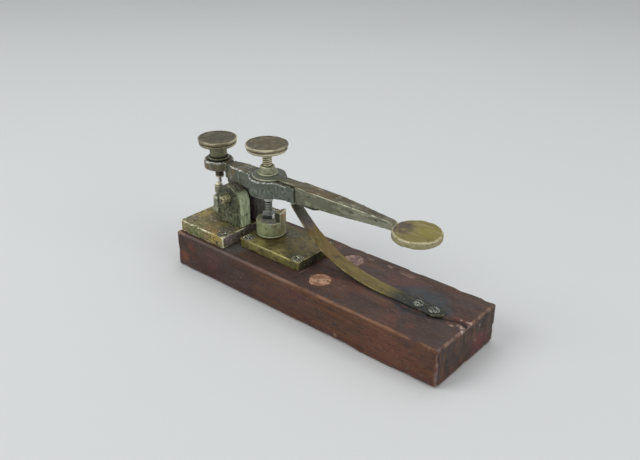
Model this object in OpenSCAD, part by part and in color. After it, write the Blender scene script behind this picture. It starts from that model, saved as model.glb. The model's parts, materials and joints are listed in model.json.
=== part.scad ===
// Telegraph key: a rocking lever between two arched bearing cheeks, a working
// contact and a back stop set by thumbscrews, and a long leaf return spring,
// all on brass plates screwed to a wooden board.
// Millimetres. +X runs from the back stop to the finger disc, +Z is up, and
// the origin is the middle of the board's underside.

/* [Board] */
// Length of the board
board_l = 185.6; // [175:0.2:200]
// Width of the board
board_w = 54; // [52:1:66]
// Thickness of the board
board_h = 22.4; // [18:0.2:28]
// Rounding of the board's worn upper edges
board_top_r = 1; // [0.6:0.2:2.4]
// Rounding of the board's lower edges
board_low_r = 1; // [0.6:0.2:4]
// Rounding of the board's corners, seen from above
board_corner_r = 0.8; // [0.6:0.1:4]
// Diameter of the two plugs that fill old screw holes
plug_d = 12; // [8:0.5:13]
// Depth of the plugs
plug_depth = 8; // [4:1:12]
// Distance from the board's front end to the plugs
plug_setback = 82.8; // [74:0.2:90]
// Distance from the board's long edges to the plugs' centres
plug_edge = 13; // [9:0.5:17]

/* [Plates] */
// Distance from the board's rear end to the rear plate
rear_inset = 1.3; // [0.5:0.1:4]
// Length of the rear plate
rear_plate_l = 36.8; // [34:0.2:40]
// Width of the rear plate
rear_plate_w = 49; // [42:1:50]
// Thickness of the rear plate
rear_plate_t = 7; // [5:0.5:9]
// Gap between the two plates
plate_gap = 4.7; // [3.5:0.1:5.5]
// Length of the front plate
front_plate_l = 45.5; // [40:0.5:48]
// Width of the front plate
front_plate_w = 31; // [28:1:40]
// Thickness of the front plate
front_plate_t = 5.5; // [4:0.5:7]
// Head diameter of the wood screws that hold the plates
plate_screw_d = 7; // [5:0.5:7.5]
// Distance from a plate's edge to a screw's centre
plate_screw_edge = 3.9; // [3.8:0.1:5]
// Length of the plates' wood screws
plate_screw_l = 16; // [12:1:18]

/* [Bearing] */
// Radius of the arch that tops each cheek
arch_r = 9.9; // [8.5:0.1:11]
// Height of the arches' centre above the rear plate
arch_up = 14.8; // [13.6:0.1:16]
// Thickness of each cheek
cheek_t = 8.6; // [6.5:0.1:9.5]
// Width of the slot between the cheeks
slot_w = 4.2; // [3.6:0.1:6]
// Distance from the board's middle to the slot, away from the near side
line_y = 1; // [0:0.1:2]
// Height of the pivot above the rear plate
pivot_up = 17; // [15.6:0.1:18]
// Diameter of the pivot pin
pivot_d = 4.6; // [3:0.1:5]
// Reach of the pivot pin out of each cheek
pin_proud = 5; // [1:0.1:5.6]
// Diameter of the screws that hold the cheeks from below
cheek_screw_d = 3.2; // [2.4:0.2:3.6]

/* [Lever] */
// Height of the casting's top above the pivot
lever_rise = 17.3; // [17:0.1:19]
// Depth of the boss that carries the working contact
boss_depth = 10.1; // [9:0.1:12]
// Diameter of that boss
boss_d = 22.4; // [20:0.2:24]
// Thickness of the ring that carries the back stop
ring_t = 5.6; // [5:0.1:7]
// Diameter of that ring
ring_d = 17.5; // [16:0.5:19]
// Width of the casting's neck behind the pivot
neck_w = 6.6; // [5.5:0.1:8]
// Width of the casting's waist, above the cheeks
waist_w = 10.4; // [8:0.1:12]
// Width of the casting's front end
nose_w = 11.2; // [9.6:0.1:12]
// Distance from the working contact to the end of the casting
nose_lead = 24.5; // [22:0.5:27]
// Radius of the lug that hangs between the cheeks
lug_r = 5.2; // [4:0.1:6]
// Thickness of the arm's strap on the casting
strap_t = 1.5; // [1:0.1:2.2]
// Width of the strap
strap_w = 6.2; // [4:0.2:8]
// Diameter of the strap's eye
eye_d = 19.6; // [15:0.2:20]
// Distance from the contact's axis forward to the eye's centre
eye_lead = 1.2; // [0:0.1:1.6]
// Depth of the arm where it meets the casting
arm_root_h = 9.8; // [8:0.1:11]
// Depth of the arm at the finger disc
arm_tip_h = 4.3; // [3.9:0.1:5]
// Width of the arm where it meets the casting
arm_root_w = 9.2; // [6.4:0.1:10]
// Width of the arm where it is widest
arm_mid_w = 9; // [7:0.1:10]
// Width of the arm at the finger disc
arm_tip_w = 5; // [4:0.1:6]

/* [Finger disc] */
// Distance from the pivot to the middle of the disc
finger_reach = 124.6; // [120:0.2:130]
// Diameter of the disc
disc_d = 25.4; // [22:0.2:28]
// Thickness of the disc
disc_t = 3.8; // [3.4:0.1:5]
// Height of the casting's top above the disc's top
disc_drop = 0.6; // [0:0.1:2]

/* [Working contact] */
// Distance from the pivot to the working contact
front_reach = 22.6; // [21:0.2:24]
// Gap of the working contact with the key up
contact_gap = 0.7; // [0.4:0.05:0.9]
// Diameter of the front thumbscrew's head
front_head_d = 24.2; // [20:0.2:26]
// Thickness of the front thumbscrew's head
front_head_t = 4; // [3.4:0.1:5]
// Height of the front head's top above the casting
front_head_up = 19.3; // [16:0.1:22]
// Diameter of the front thumbscrew's shank
front_shank_d = 5.6; // [5:0.1:7]
// Diameter of the contact rod
rod_d = 4.2; // [3:0.1:4.8]
// Diameter of the lock nut's flange
nut_d = 11.4; // [10:0.2:13]
// Height of the lock nut
nut_h = 4.7; // [3.5:0.1:6]
// Diameter of the contact pillar
pillar_d = 17.2; // [16:0.2:19]
// Height of the pillar's standing wall
pillar_h = 15.4; // [14:0.1:18]
// Height of the seat that is cut in the pillar
seat_h = 9.6; // [9:0.1:10.6]
// Distance from the contact's axis forward to the pillar's axis
pillar_lead = 1.6; // [0.5:0.1:2]
// Thickness of the pillar's standing wall
wall_t = 3.9; // [2.5:0.1:4.2]
// Length of the contact block
block_l = 7.2; // [5.8:0.1:7.6]
// Width of the contact block
block_w = 6; // [5.2:0.1:6.4]
// Height of the contact block
block_h = 2.7; // [2.2:0.1:3.3]
// Turn of the contact block on its peg
block_turn = 38; // [0:1:44]

/* [Back stop] */
// Distance from the pivot to the back stop
rear_reach = 18; // [17.6:0.1:18.6]
// Diameter of the rear thumbscrew's head
rear_head_d = 23.4; // [20:0.2:25]
// Thickness of the rear thumbscrew's head
rear_head_t = 4.2; // [3:0.1:5]
// Height of the rear head's top above the casting
rear_head_up = 13; // [11:0.1:16]
// Diameter of the rear thumbscrew's shank
rear_shank_d = 5.2; // [4.4:0.1:6]
// Diameter of the rear thumbscrew's stem
rear_stem_d = 10.2; // [8:0.2:12]
// Reach of the rear thumbscrew below the casting's top
rear_screw_l = 12; // [11:0.1:12.4]
// Diameter of the lock ring
lock_ring_d = 12.8; // [11:0.2:14]
// Thickness of the lock ring
lock_ring_t = 1.6; // [1:0.1:2.2]
// Diameter of the stop pin
stop_pin_d = 1.9; // [1.2:0.1:2.2]
// Reach of the stop pin below the screw
stop_pin_l = 3.4; // [3:0.1:4.2]
// Diameter of the stop post's foot
post_foot_d = 9.8; // [9:0.2:12]
// Diameter of the stop post's body
post_body_d = 7.8; // [6.4:0.1:8.4]
// Height of the stop post's body above the plate
post_body_h = 10.2; // [9:0.1:11]
// Diameter of the stop post's neck
post_neck_d = 5.2; // [4:0.1:6]

/* [Spring] */
// Thickness of the leaf spring
spring_t = 0.9; // [0.6:0.05:1.2]
// Width of the spring's long leaf
spring_w = 9; // [7:0.1:11]
// Width of the spring's short leaf, under the arm
spring_top_w = 7.4; // [6:0.1:8.5]
// Length of the short leaf
short_leaf_l = 18; // [16:0.5:22]
// Distance from the end of the casting back to the spring's bend
bend_setback = 2.1; // [1:0.1:4]
// Radius of the bend, at the middle of the strip
bend_r = 1.5; // [1.2:0.1:2.2]
// Angle below level at which the long leaf leaves the bend
leaf_angle = 46; // [40:1:52]
// Pull of the curve along that angle
leaf_lead = 15.7; // [12:0.1:20]
// Pull of the curve along the board
leaf_run = 41; // [36:1:46]
// Length of the spring's flat foot
foot_l = 33; // [28:1:38]
// Distance from the board's front end to the spring's foot
foot_setback = 13.8; // [10:0.2:18]
// Distance between the foot's two screws
foot_screw_gap = 9.4; // [8:0.2:12]
// Head diameter of the foot's screws
foot_screw_d = 6; // [5:0.2:7]
// Length of the foot's screws below the spring
foot_screw_l = 12; // [8:1:14]

/* [Hidden] */
$fn = 96;

// Clearances: fixed pieces, running pieces and parts that touch lightly
fixed_fit = 0.02;
run_fit = 0.05;
seat_gap = 0.03;
over = 1;

brass = "darkkhaki";
old_brass = "olivedrab";
grey_metal = "darkgray";
dark_steel = "dimgray";
wood_red = "sienna";
wood_pale = "tan";

// Places along the key and heights, worked out from the sizes above
board_front = board_l / 2;
rear_x0 = -board_l / 2 + rear_inset;
rear_x1 = rear_x0 + rear_plate_l;
rear_top = board_h + rear_plate_t;
front_x0 = rear_x1 + plate_gap;
front_x1 = front_x0 + front_plate_l;
front_top = board_h + front_plate_t;
pivot_x = rear_x1 - arch_r;
pivot_z = rear_top + pivot_up;
contact_x = pivot_x + front_reach;
stop_x = pivot_x - rear_reach;
casting_top = pivot_z + lever_rise;
arch_clear = 0.4;
arch_z = rear_top + arch_up;
neck_low = arch_z + arch_r + arch_clear;
boss_low = casting_top - boss_depth;
ring_low = casting_top - ring_t;
nose_x = contact_x + nose_lead;
strap_top = casting_top + strap_t;
disc_x = pivot_x + finger_reach;
disc_top = casting_top - disc_drop;
disc_low = disc_top - disc_t;
arm_x1 = disc_x - disc_d / 2 - 0.1;
arm_low0 = strap_top - arm_root_h;
arm_len = arm_x1 - nose_x;
arm_slope = (disc_low - arm_low0) / arm_len;
pillar_x = contact_x + pillar_lead;
plug_y = board_w / 2 - plug_edge;
seat_top = front_top + seat_h;
block_top = seat_top + block_h;
shank_low = boss_low - 1;
foot_x1 = board_front - foot_setback;
foot_x0 = foot_x1 - foot_l;

// The arm and the spring run from the bearing's line to the board's middle
arm_skew = atan(line_y / (disc_x - nose_x));
module arm_frame() {
  translate([nose_x, line_y, 0]) rotate(-arm_skew) translate([-nose_x, 0, 0]) children();
}
module line_frame() {
  translate([0, line_y, 0]) children();
}

function lerp(a, b, t) = a + (b - a) * t;
function ease(t) = let (s = min(1, max(0, t))) s * s * (3 - 2 * s);
function smooth_max(a, b, k) = (a + b + sqrt((a - b) * (a - b) + k * k)) / 2;
function chord(r, x) = sqrt(max(0, r * r - x * x));
function arm_low(x) = arm_low0 + arm_slope * (x - nose_x);

// Rectangle that stands on y = 0, with its own rounding below and above
module soft_rectangle(w, h, low_r, top_r) {
  translate([-w / 2, low_r]) square([w, h - low_r - top_r]);
  translate([-w / 2 + low_r, 0]) square([w - 2 * low_r, low_r]);
  translate([-w / 2 + top_r, h - top_r]) square([w - 2 * top_r, top_r]);
  for (side = [-1, 1]) {
    translate([side * (w / 2 - low_r), low_r]) circle(low_r);
    translate([side * (w / 2 - top_r), h - top_r]) circle(top_r);
  }
}

// Rectangle centred on the origin, with round corners
module round_rectangle(l, w, r) {
  square([l - 2 * r, w], center = true);
  square([l, w - 2 * r], center = true);
  for (i = [-1, 1], j = [-1, 1])
    translate([i * (l / 2 - r), j * (w / 2 - r)]) circle(r);
}

// Extrudes a side view, drawn in X and Z, evenly across the key
module across(w) {
  translate([0, w / 2, 0]) rotate([90, 0, 0]) linear_extrude(w) children();
}

// Outline that is symmetric about X: half widths by place along X
module tapered_outline(xs, halves) {
  n = len(xs) - 1;
  polygon(concat(
    [for (i = [0:n]) [xs[i], -halves[i]]],
    [for (i = [n:-1:0]) [xs[i], halves[i]]]
  ));
}

// Countersunk wood screw with its head level with z = 0
module wood_screw(head_d, shank_d, l) {
  cone_h = (head_d - shank_d) / 2;
  point_l = 1.4 * shank_d;
  difference() {
    rotate_extrude() polygon([
      [0, 0], [head_d / 2, 0], [shank_d / 2, -cone_h],
      [shank_d / 2, -l + point_l], [0, -l]
    ]);
    translate([-head_d / 2 - over, -head_d / 14, -cone_h / 2])
      cube([head_d + 2 * over, head_d / 7, cone_h]);
  }
}

// The hole that such a screw fills
module wood_screw_hole(head_d, shank_d, l) {
  cone_h = (head_d - shank_d) / 2;
  rotate_extrude() polygon([
    [0, over], [head_d / 2 + fixed_fit, over], [head_d / 2 + fixed_fit, 0],
    [shank_d / 2 + fixed_fit, -cone_h], [shank_d / 2 + fixed_fit, -l], [0, -l]
  ]);
}

// Machine screw that points up, its countersunk head level with z = 0
module machine_screw(head_d, shank_d, l) {
  cone_h = (head_d - shank_d) / 2;
  difference() {
    rotate_extrude() polygon([
      [0, 0], [head_d / 2, 0], [shank_d / 2, cone_h], [shank_d / 2, l], [0, l]
    ]);
    translate([-head_d / 2 - over, -head_d / 14, -over])
      cube([head_d + 2 * over, head_d / 7, over + cone_h / 2]);
  }
}

// The hole that such a screw fills
module machine_screw_hole(head_d, shank_d, l) {
  cone_h = (head_d - shank_d) / 2;
  rotate_extrude() polygon([
    [0, -over], [head_d / 2 + fixed_fit, -over], [head_d / 2 + fixed_fit, 0],
    [shank_d / 2 + fixed_fit, cone_h], [shank_d / 2 + fixed_fit, l + fixed_fit],
    [0, l + fixed_fit]
  ]);
}

plate_shank_d = 3.4;
plug_x = board_front - plug_setback;
rear_screw_spots = [
  [rear_x1 - plate_screw_edge, -rear_plate_w / 2 + plate_screw_edge],
  [rear_x1 - plate_screw_edge, rear_plate_w / 2 - plate_screw_edge],
  [rear_x0 + plate_screw_edge, rear_plate_w / 2 - plate_screw_edge]
];
front_screw_spots = [for (x = [front_x0 + plate_screw_edge, front_x1 - plate_screw_edge],
                          y = [-1, 1])
  [x, y * (front_plate_w / 2 - plate_screw_edge)]];

module at_plate_screws(spots, z) {
  for (spot = spots) translate([spot[0], spot[1], z]) children();
}

foot_shank_d = 3;
module at_foot_screws() {
  mid = (foot_x0 + foot_x1) / 2 + foot_l * 0.175;
  arm_frame() for (side = [-1, 1])
    translate([mid + side * foot_screw_gap / 2, 0, board_h + spring_t]) children();
}

// Wooden board, worn round at its edges
module base_board() {
  color(wood_red) difference() {
    intersection() {
      linear_extrude(board_h) round_rectangle(board_l, board_w, board_corner_r);
      across(board_w + 2 * over) soft_rectangle(board_l, board_h, board_low_r, board_top_r);
      translate([-board_l / 2 - over, 0, 0]) rotate([90, 0, 90])
        linear_extrude(board_l + 2 * over)
          soft_rectangle(board_w, board_h, board_low_r, board_top_r);
    }
    for (side = [-1, 1])
      translate([plug_x, side * plug_y, board_h - plug_depth])
        cylinder(h = plug_depth + over, d = plug_d + 2 * fixed_fit);
    at_plate_screws(rear_screw_spots, rear_top)
      wood_screw_hole(plate_screw_d, plate_shank_d, plate_screw_l);
    at_plate_screws(front_screw_spots, front_top)
      wood_screw_hole(plate_screw_d, plate_shank_d, plate_screw_l);
    at_foot_screws() translate([0, 0, -spring_t - foot_screw_l])
      cylinder(h = foot_screw_l + over, d = foot_shank_d + 2 * fixed_fit);
  }
}

module plug(side) {
  color(wood_pale) translate([plug_x, side * plug_y, board_h - plug_depth])
    cylinder(h = plug_depth, d = plug_d);
}
module near_plug() { plug(-1); }
module far_plug() { plug(1); }

cheek_mid = slot_w / 2 + cheek_t / 2;
cheek_head_d = 5.8;
cheek_grip = 7.5;
cheek_screw_x = arch_r * 0.56;
module at_cheek_screws() {
  for (i = [-1, 1], j = [-1, 1])
    translate([pivot_x + i * cheek_screw_x, line_y + j * cheek_mid, board_h]) children();
}

post_tail_d = 3.6;
post_tail_l = rear_plate_t * 0.7;
post_groove = 0.8;

// The post stands a little back and to the near side of the stop screw
post_x = stop_x - 0.5;
post_y = line_y - 0.8;

// Brass plate under the bearing and the stop post
module rear_plate() {
  color(brass) difference() {
    translate([(rear_x0 + rear_x1) / 2, 0, board_h]) linear_extrude(rear_plate_t)
      round_rectangle(rear_plate_l, rear_plate_w, 0.8);
    at_plate_screws(rear_screw_spots, rear_top)
      wood_screw_hole(plate_screw_d, plate_shank_d, plate_screw_l);
    at_cheek_screws()
      machine_screw_hole(cheek_head_d, cheek_screw_d, rear_plate_t + cheek_grip);
    translate([post_x, post_y, rear_top - post_tail_l - fixed_fit])
      cylinder(h = rear_plate_t, d = post_tail_d + 2 * fixed_fit);
  }
}

module rear_plate_screws() {
  color(grey_metal) at_plate_screws(rear_screw_spots, rear_top)
    rotate(35) wood_screw(plate_screw_d, plate_shank_d, plate_screw_l);
}

pillar_head_d = 7;
pillar_shank_d = 3.6;
pillar_grip = 6;

// Brass plate under the working contact
module front_plate() {
  color(brass) difference() {
    translate([(front_x0 + front_x1) / 2, 0, board_h]) linear_extrude(front_plate_t)
      round_rectangle(front_plate_l, front_plate_w, 0.8);
    at_plate_screws(front_screw_spots, front_top)
      wood_screw_hole(plate_screw_d, plate_shank_d, plate_screw_l);
    translate([pillar_x, line_y, board_h])
      machine_screw_hole(pillar_head_d, pillar_shank_d, front_plate_t + pillar_grip);
  }
}

module front_plate_screws() {
  color(grey_metal) at_plate_screws(front_screw_spots, front_top)
    rotate(-20) wood_screw(plate_screw_d, plate_shank_d, plate_screw_l);
}

// One arched cheek of the bearing, bored for the pin and tapped from below
module cheek(side) {
  color(old_brass) difference() {
    translate([0, line_y + side * cheek_mid, 0]) across(cheek_t) {
      translate([pivot_x, arch_z]) circle(arch_r);
      translate([pivot_x - arch_r, rear_top]) square([2 * arch_r, arch_up]);
    }
    translate([pivot_x, line_y, pivot_z]) rotate([90, 0, 0])
      cylinder(h = 4 * cheek_mid, d = pivot_d + 2 * fixed_fit, center = true);
    at_cheek_screws()
      machine_screw_hole(cheek_head_d, cheek_screw_d, rear_plate_t + cheek_grip);
  }
}
module near_cheek() { cheek(-1); }
module far_cheek() { cheek(1); }

module cheek_screws() {
  color(grey_metal) at_cheek_screws()
    machine_screw(cheek_head_d, cheek_screw_d, rear_plate_t + cheek_grip);
}

// Steel pin that stands out of both cheeks, with the lathe's centre in each end
module pivot_pin() {
  l = slot_w + 2 * cheek_t + 2 * pin_proud;
  nose = 0.4;
  centre_r = 0.8;
  centre_l = 1.4;
  color(grey_metal) translate([pivot_x, line_y, pivot_z]) rotate([90, 0, 0])
    rotate_extrude() polygon([
      [0, centre_l - l / 2], [centre_r, -l / 2], [pivot_d / 2 - nose, -l / 2],
      [pivot_d / 2, -l / 2 + nose], [pivot_d / 2, l / 2 - nose],
      [pivot_d / 2 - nose, l / 2], [centre_r, l / 2], [0, l / 2 - centre_l]
    ]);
}

stop_z = casting_top - rear_screw_l - stop_pin_l;
bead_h = 2;
post_top = stop_z - seat_gap - bead_h;
bead_peg_l = 1.5;

// Turned post on the rear plate that the stop pin comes down on
module stop_post() {
  foot_h = 2.6;
  flare_h = 4.2;
  r_body = post_body_d / 2;
  r_neck = post_neck_d / 2;
  color(brass) translate([post_x, post_y, rear_top]) difference() {
    rotate_extrude() polygon([
      [0, -post_tail_l], [post_tail_d / 2, -post_tail_l], [post_tail_d / 2, 0],
      [post_foot_d / 2, 0], [post_foot_d / 2, foot_h - 0.6],
      [post_foot_d / 2 - 0.3, foot_h], [r_body, flare_h],
      [r_body, post_body_h - 0.7], [r_body - 0.7, post_body_h],
      [r_neck - post_groove, post_body_h], [r_neck - post_groove, post_body_h + 1],
      [r_neck, post_body_h + 2.4], [r_neck, post_top - rear_top],
      [0, post_top - rear_top]
    ]);
    translate([0, 0, post_top - rear_top - bead_peg_l - fixed_fit])
      cylinder(h = bead_peg_l + over, d = stop_pin_d + 2 * fixed_fit);
  }
}

// Bright contact bead that is pegged into the top of the post
module stop_bead() {
  bead_r = post_neck_d / 2 - 0.5;
  color("silver") translate([post_x, post_y, post_top]) {
    translate([0, 0, -bead_peg_l]) cylinder(h = bead_peg_l + 0.1, d = stop_pin_d);
    intersection() {
      cylinder(h = bead_h, r = bead_r);
      translate([0, 0, bead_h - bead_r * 1.2]) sphere(bead_r * 1.2);
    }
  }
}

wall_x = pillar_x + pillar_d / 2 - wall_t;
wall_y = -1.5;
block_lead = -0.1;
block_peg_d = 3;
block_peg_l = 3;

module at_block() {
  translate([contact_x + block_lead, 0, seat_top]) rotate(block_turn) children();
}

// Turned pillar with a seat cut in it, which leaves one wall standing
module contact_pillar() {
  r = pillar_d / 2;
  foot_h = 1.5;
  color(old_brass) line_frame() difference() {
    translate([pillar_x, 0, front_top]) rotate_extrude() polygon([
      [0, 0], [r, 0], [r, foot_h], [r - 0.4, foot_h + 0.2], [r - 0.4, foot_h + 0.5],
      [r, foot_h + 0.8], [r, pillar_h - 0.5], [r - 0.5, pillar_h], [0, pillar_h]
    ]);
    translate([pillar_x - pillar_d, -pillar_d, seat_top])
      cube([wall_x - pillar_x + pillar_d, 2 * pillar_d, pillar_h]);
    translate([pillar_x - pillar_d, -pillar_d, seat_top])
      cube([2 * pillar_d, pillar_d + wall_y, pillar_h]);
    translate([pillar_x, 0, board_h])
      machine_screw_hole(pillar_head_d, pillar_shank_d, front_plate_t + pillar_grip);
    at_block() translate([0, 0, -block_peg_l - fixed_fit])
      cylinder(h = block_peg_l + over, d = block_peg_d + 2 * fixed_fit);
  }
}

module pillar_screw() {
  color(grey_metal) translate([pillar_x, line_y, board_h])
    machine_screw(pillar_head_d, pillar_shank_d, front_plate_t + pillar_grip);
}

// Hard contact block, pegged into the pillar's seat
module contact_block() {
  color("silver") line_frame() at_block() {
    translate([-block_l / 2, -block_w / 2, 0]) cube([block_l, block_w, block_h]);
    translate([0, 0, -block_peg_l]) cylinder(h = block_peg_l + 0.1, d = block_peg_d);
  }
}

// Middle line of the spring, from the short leaf's end to the foot's end
leaf_head = 180 + atan(arm_slope);
leaf_exit = 360 - leaf_angle;
bend_x = nose_x - bend_setback;
bend_start = [bend_x, arm_low(bend_x) - spring_t / 2 - seat_gap];
bend_mid = bend_start + bend_r * [-sin(leaf_head), cos(leaf_head)];
function bend_point(a) = bend_mid + bend_r * [sin(a), -cos(a)];
leaf_p0 = bend_point(leaf_exit);
leaf_p3 = [foot_x0, board_h + spring_t / 2];
leaf_p1 = leaf_p0 + leaf_lead * [cos(leaf_exit), sin(leaf_exit)];
leaf_p2 = leaf_p3 - [leaf_run, 0];
function leaf_point(s) = pow(1 - s, 3) * leaf_p0 + 3 * pow(1 - s, 2) * s * leaf_p1
  + 3 * (1 - s) * s * s * leaf_p2 + pow(s, 3) * leaf_p3;
bend_steps = 9;
leaf_steps = 30;
long_leaf_path = concat(
  [for (i = [0:bend_steps]) bend_point(lerp(leaf_head, leaf_exit, i / bend_steps))],
  [for (i = [1:leaf_steps]) leaf_point(i / leaf_steps)],
  [[foot_x1, board_h + spring_t / 2]]
);

// Side view of a strip of even thickness along a path
module strip_view(path, t) {
  n = len(path) - 1;
  function side(i) = let (
    d = path[min(n, i + 1)] - path[max(0, i - 1)]
  ) t / 2 * [-d[1], d[0]] / norm(d);
  polygon(concat(
    [for (i = [0:n]) path[i] + side(i)],
    [for (i = [n:-1:0]) path[i] - side(i)]
  ));
}

function spring_half(x) = lerp(spring_top_w, spring_w, ease((x - bend_x) / 25)) / 2;

// Long leaf that lifts the arm, bent back on itself under the arm
module leaf_spring() {
  round_r = spring_w / 2 - 0.1;
  steps = 16;
  left = bend_mid[0] - bend_r - spring_t;
  short_x1 = bend_x + short_leaf_l;
  color(brass) difference() {
    arm_frame() {
      intersection() {
        across(2 * spring_w) strip_view(long_leaf_path, spring_t);
        linear_extrude(casting_top) {
          tapered_outline(
            concat([left], [for (i = [0:steps]) bend_x + 25 * i / steps],
                   [foot_x1 - round_r]),
            concat([spring_top_w / 2], [for (i = [0:steps]) spring_half(bend_x + 25 * i / steps)],
                   [spring_w / 2])
          );
          translate([foot_x1 - round_r, 0]) circle(round_r);
        }
      }
      intersection() {
        across(2 * spring_w) strip_view([bend_start, [short_x1, arm_low(short_x1)
          - spring_t / 2 - seat_gap]], spring_t);
        linear_extrude(casting_top) {
          translate([bend_x - 0.1, -spring_top_w / 2])
            square([short_leaf_l - spring_top_w / 2 + 0.1, spring_top_w]);
          translate([short_x1 - spring_top_w / 2, 0]) circle(d = spring_top_w);
        }
      }
    }
    at_foot_screws() translate([0, 0, -spring_t - over])
      cylinder(h = spring_t + 2 * over, d = foot_shank_d + 2 * fixed_fit);
    at_clamp_screws() cylinder(h = 4 * spring_t, d = clamp_shank_d + 0.2, center = true);
  }
}

// Round-headed screws that hold the spring's foot to the board
module spring_foot_screws() {
  r = foot_screw_d / 2;
  rise = r * 0.5;
  ball = (r * r + rise * rise) / (2 * rise);
  color(dark_steel) at_foot_screws() rotate(-15) difference() {
    union() {
      intersection() {
        translate([0, 0, rise - ball]) sphere(ball);
        cylinder(h = rise, r = r);
      }
      rotate_extrude() polygon([
        [0, 0.1], [foot_shank_d / 2, 0.1], [foot_shank_d / 2, 0],
        [foot_shank_d / 2, -spring_t - foot_screw_l + 4],
        [0, -spring_t - foot_screw_l + fixed_fit]
      ]);
    }
    translate([-foot_screw_d, -0.4, rise * 0.4]) cube([2 * foot_screw_d, 0.8, rise]);
  }
}

// Half width of the casting along X, with its boss blended in
neck_back = pivot_x - 8;
function casting_base(x) = x < pivot_x
  ? lerp(neck_w / 2, waist_w / 2, ease((x - neck_back) / (pivot_x - neck_back)))
  : lerp(waist_w / 2, nose_w / 2, (x - pivot_x) / (nose_x - pivot_x));
function casting_half(x) =
  smooth_max(casting_base(x), chord(boss_d / 2 - 0.4, x - contact_x), 1.6);

// Underside of the casting: level over the cheeks, deep at the boss
function casting_low(x) = x < pivot_x + 5
  ? neck_low
  : x < contact_x + boss_d / 2 - 3
    ? lerp(neck_low, boss_low, ease((x - pivot_x - 5) / 9))
    : lerp(boss_low, arm_low(x), ease((x - contact_x - boss_d / 2 + 3) / 10));

// Grey casting of the lever: stop ring, neck, hanging lug and contact boss
module lever_casting() {
  steps = 54;
  lug_t = slot_w - 0.4;
  lug_back = 9.6;
  lug_front = 7.6;
  lug_heel = 5.2;
  lug_top = neck_low - pivot_z + 1;
  xs = [for (i = [0:steps]) lerp(stop_x, nose_x, i / steps)];
  neck_x0 = pivot_x - lug_back;
  neck_xs = [for (i = [0:steps]) lerp(neck_x0, nose_x, i / steps)];
  color(grey_metal) line_frame() difference() {
    union() {
      translate([stop_x, 0, ring_low]) cylinder(h = ring_t, d = ring_d);
      intersection() {
        linear_extrude(casting_top) tapered_outline(xs, [for (x = xs) casting_half(x)]);
        across(2 * boss_d) {
          polygon(concat(
            [for (x = neck_xs) [x, casting_low(x)]],
            [[nose_x, casting_top], [neck_x0, casting_top]]
          ));
          translate([stop_x, ring_low]) square([neck_x0 - stop_x + 0.1, ring_t]);
        }
      }
      translate([pivot_x, 0, pivot_z]) across(lug_t) {
        circle(lug_r);
        polygon([
          [-lug_r, 0], [lug_r, 0], [lug_front, lug_top],
          [-lug_back, lug_top], [-lug_back, lug_heel]
        ]);
      }
    }
    translate([pivot_x, 0, pivot_z]) rotate([90, 0, 0])
      cylinder(h = boss_d, d = pivot_d + 2 * run_fit, center = true);
    translate([contact_x, 0, boss_low - over])
      cylinder(h = boss_depth + 2 * over, d = front_shank_d + 2 * run_fit);
    translate([stop_x, 0, ring_low - over])
      cylinder(h = ring_t + 2 * over, d = rear_shank_d + 2 * run_fit);
  }
}

// Width and depth of the arm, by the share t of its length
function arm_half(t) = (t < 0.35
  ? lerp(arm_root_w, arm_mid_w, ease(t / 0.35))
  : lerp(arm_mid_w, arm_tip_w, ease((t - 0.35) / 0.6))) / 2;
function arm_top(t) = lerp(strap_top, disc_low + arm_tip_h, pow(t, 2.5));
eye_x = contact_x + eye_lead;
function strap_half(x) = smooth_max(chord(eye_d / 2, x - eye_x), strap_w / 2,
  2 * min(1, max(0, x - eye_x) / eye_d));

tongue_t = disc_t * 0.48;
tongue_l = disc_d * 0.7;
disc_shank_d = 2.4;
disc_head_d = 4.2;
disc_grip = disc_t - 0.8;
clamp_shank_d = 2;
clamp_head_h = 0.9;
clamp_grip = 3;

module at_clamp_screws() {
  for (share = [0.3, 0.68]) {
    x = bend_x + short_leaf_l * share;
    arm_frame() translate([x, 0, arm_low(x) - spring_t / 2 - seat_gap])
      rotate([0, -atan(arm_slope), 0]) children();
  }
}

// Brass arm, with the strap and eye that the lock nut clamps on the casting
module lever_arm() {
  steps = 32;
  ts = [for (i = [0:steps]) i / steps];
  root_x = nose_x - 0.3;
  xs = concat([root_x], [for (t = ts) lerp(nose_x, arm_x1, t)]);
  halves = concat([arm_half(0)], [for (t = ts) arm_half(t)]);
  strap_xs = [for (i = [0:steps]) lerp(eye_x, nose_x + 0.5, i / steps)];
  color(brass) difference() {
    union() {
      arm_frame() intersection() {
        linear_extrude(strap_top + over) tapered_outline(xs, halves);
        across(2 * arm_mid_w) polygon(concat(
          [[root_x, strap_top]], [for (t = ts) [lerp(nose_x, arm_x1, t), arm_top(t)]],
          [[arm_x1, disc_low], [root_x, arm_low(root_x)]]
        ));
      }
      translate([0, line_y, casting_top]) linear_extrude(strap_t) {
        tapered_outline(strap_xs, [for (x = strap_xs) min(strap_half(x), eye_d / 2)]);
        translate([eye_x, 0]) circle(d = eye_d);
      }
      arm_frame() translate([arm_x1 - 0.1, -arm_tip_w / 2, disc_low])
        cube([tongue_l + 0.1, arm_tip_w, tongue_t]);
    }
    translate([nose_x - nose_w, -nose_w, 0]) cube([nose_w, 2 * nose_w, casting_top]);
    translate([contact_x, line_y, casting_top - over])
      cylinder(h = strap_t + 2 * over, d = front_shank_d + 2 * run_fit);
    arm_frame() translate([disc_x, 0, disc_low])
      machine_screw_hole(disc_head_d, disc_shank_d, disc_grip);
    at_clamp_screws() cylinder(h = clamp_grip + spring_t, d = clamp_shank_d + 2 * fixed_fit);
  }
}

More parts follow.
